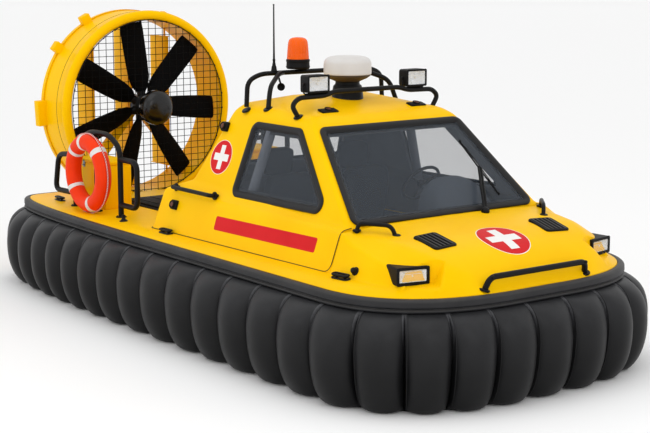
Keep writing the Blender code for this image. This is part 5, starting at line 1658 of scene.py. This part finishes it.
edge_ring = [(-0.0012, -0.02), (0.0012, -0.02), (0.003, -0.014), (0.0055, -0.011),
    (0.0045, -0.007), (-0.0045, -0.007), (-0.0055, -0.011), (-0.003, -0.014)]
shells.append(
    loft_shell([[blade_point(s, lift) + SIDEWAYS * w for w, lift in edge_ring] for s in (0.0, 0.25,
    0.5, 0.75, 1.0)]))
shells.append(
    tube_shell(
    [blade_point(share, lift) for share, lift in ((0.02, -0.008), (0.15, 0.002), (0.5, 0.006),
    (0.85, 0.002), (0.98, -0.008))], 0.0042, 0.05, 10))
for share in (0.02, 0.26, 0.5, 0.74, 0.98):
    shells.append(soft_box((-0.012, -0.007, -0.012), (0.012, 0.007, 0.004), 0.003, 2,
        standing(blade_point(share, 0), GLASS_OUT, GLASS_UP)))
add_piece("wiper_arms", shells, "tube", "wiper", "black_plastic", "wiper", smooth=45)
print("wiper done")

# %% [markdown]
# ## Rudders, lockers and hatch
# A rudder is a symmetrical aerofoil drawn out from bottom to top, with a plate at each end. The
# lockers are soft boxes with a lid line, hinges and latches; the hatch is a plate with a ribbed
# crown.

# %% Rudders
SHAFT_X = -3.045
for number, y, inset in ((1, -0.45, 0.079), (2, 0.0, 0.025), (3, 0.45, 0.079)):
    rudder = "rudder_" + str(number)
    (_, _, foot), (_, _, head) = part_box(rudder)
    low, high = foot + inset, head - inset
    steps = np.linspace(0, 1, 14)
    thick = 0.0175 * (1.0 - steps ** 2.2) * np.sqrt(np.minimum(1, steps / 0.1 + 0.02)) + 0.0012
    along = 0.075 - 0.372 * steps
    foil = list(zip(along, thick)) + list(zip(along, -thick))[::-1]
    shells = [
        loft_shell(
        [[(SHAFT_X + a, y + b, z) for a, b in foil] for z in np.linspace(low + 0.012, high - 0.012,
        6)])]
    for z in (low, high - 0.01):
        shells.append(soft_box((SHAFT_X - 0.298, y - 0.017, z),
            (SHAFT_X + 0.073, y + 0.017, z + 0.01), 0.003, 2))
    for start, end, radius in ((low + 0.004, high - 0.004, 0.0172), (foot, head, 0.0115)):
        shells.append(tube_shell([(SHAFT_X, y, start), (SHAFT_X, y, end)], radius, 0, 24))
    add_piece("rudder_blade_" + str(number), shells, "gelcoat", rudder, "yellow_gelcoat", rudder,
        smooth=45)
print("rudders: 3")

# %% Lockers and engine hatch
for label, side in SIDES:
    (x0, y0, z0), (x1, y1, z1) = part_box("deck_locker_" + label)
    body_box = soft_box((x0, y0, z0), (x1, y1, z1 - 0.045), 0.018, 4)
    lid = soft_box((x0 - 0.004, y0 - 0.004, z1 - 0.04), (x1 + 0.004, y1 + 0.004, z1), 0.014, 4)
    neck = soft_box((x0 + 0.006, y0 + 0.006, z1 - 0.06), (x1 - 0.006, y1 - 0.006, z1 - 0.02), 0.01,
        2)
    add_piece("locker_" + label, [body_box, lid, neck], "gelcoat", "craft", "yellow_gelcoat",
        "deck_locker_" + label, smooth=40)
    face_y = y1 if side > 0 else y0
    hardware = []
    for x in (x0 + 0.12, x1 - 0.12):
        hardware.append(soft_box((x - 0.022, face_y - 0.004, z1 - 0.085),
            (x + 0.022, face_y + 0.004, z1 - 0.012), 0.003, 2))
        knob_y, knob_z = face_y + 0.01 * side, z1 - 0.066
        hardware.append(tube_shell([(x - 0.016, knob_y, knob_z), (x + 0.016, knob_y, knob_z)],
            0.006, 0, 12))
    hinge_y, hinge_z = y0 if side > 0 else y1, z1 - 0.043
    for x in (x0 + 0.1, x1 - 0.1):
        hardware.append(tube_shell([(x - 0.03, hinge_y, hinge_z), (x + 0.03, hinge_y, hinge_z)],
            0.008, 0, 14))
    add_piece("locker_latches_" + label, hardware, "steel", "craft", "black_metal", smooth=40)
(x0, y0, z0), (x1, y1, z1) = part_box("engine_hatch")
plate = soft_box((x0, y0, z0), (x1, y1, z0 + 0.014), 0.006, 3)
crown = soft_box((x0 + 0.05, y0 + 0.05, z0 + 0.006), (x1 - 0.05, y1 - 0.05, z1), 0.007, 3)
ribs = [soft_box((x0 + 0.09, y - 0.012, z0 + 0.012), (x1 - 0.09, y + 0.012, z1 + 0.004), 0.003, 2)
    for y in np.linspace(y0 + 0.15, y1 - 0.15, 7)]
add_piece("hatch_plate", [plate, crown] + ribs, "plastic", "craft", "black_plastic",
    "engine_hatch", smooth=40)
print("lockers and hatch done")

# %% [markdown]
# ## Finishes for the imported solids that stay
# Pieces whose packed form is already right only need their finish.

# %% Dress the rest
dress(["fan_stay"], "gelcoat")
dress(["engine"], "engine")
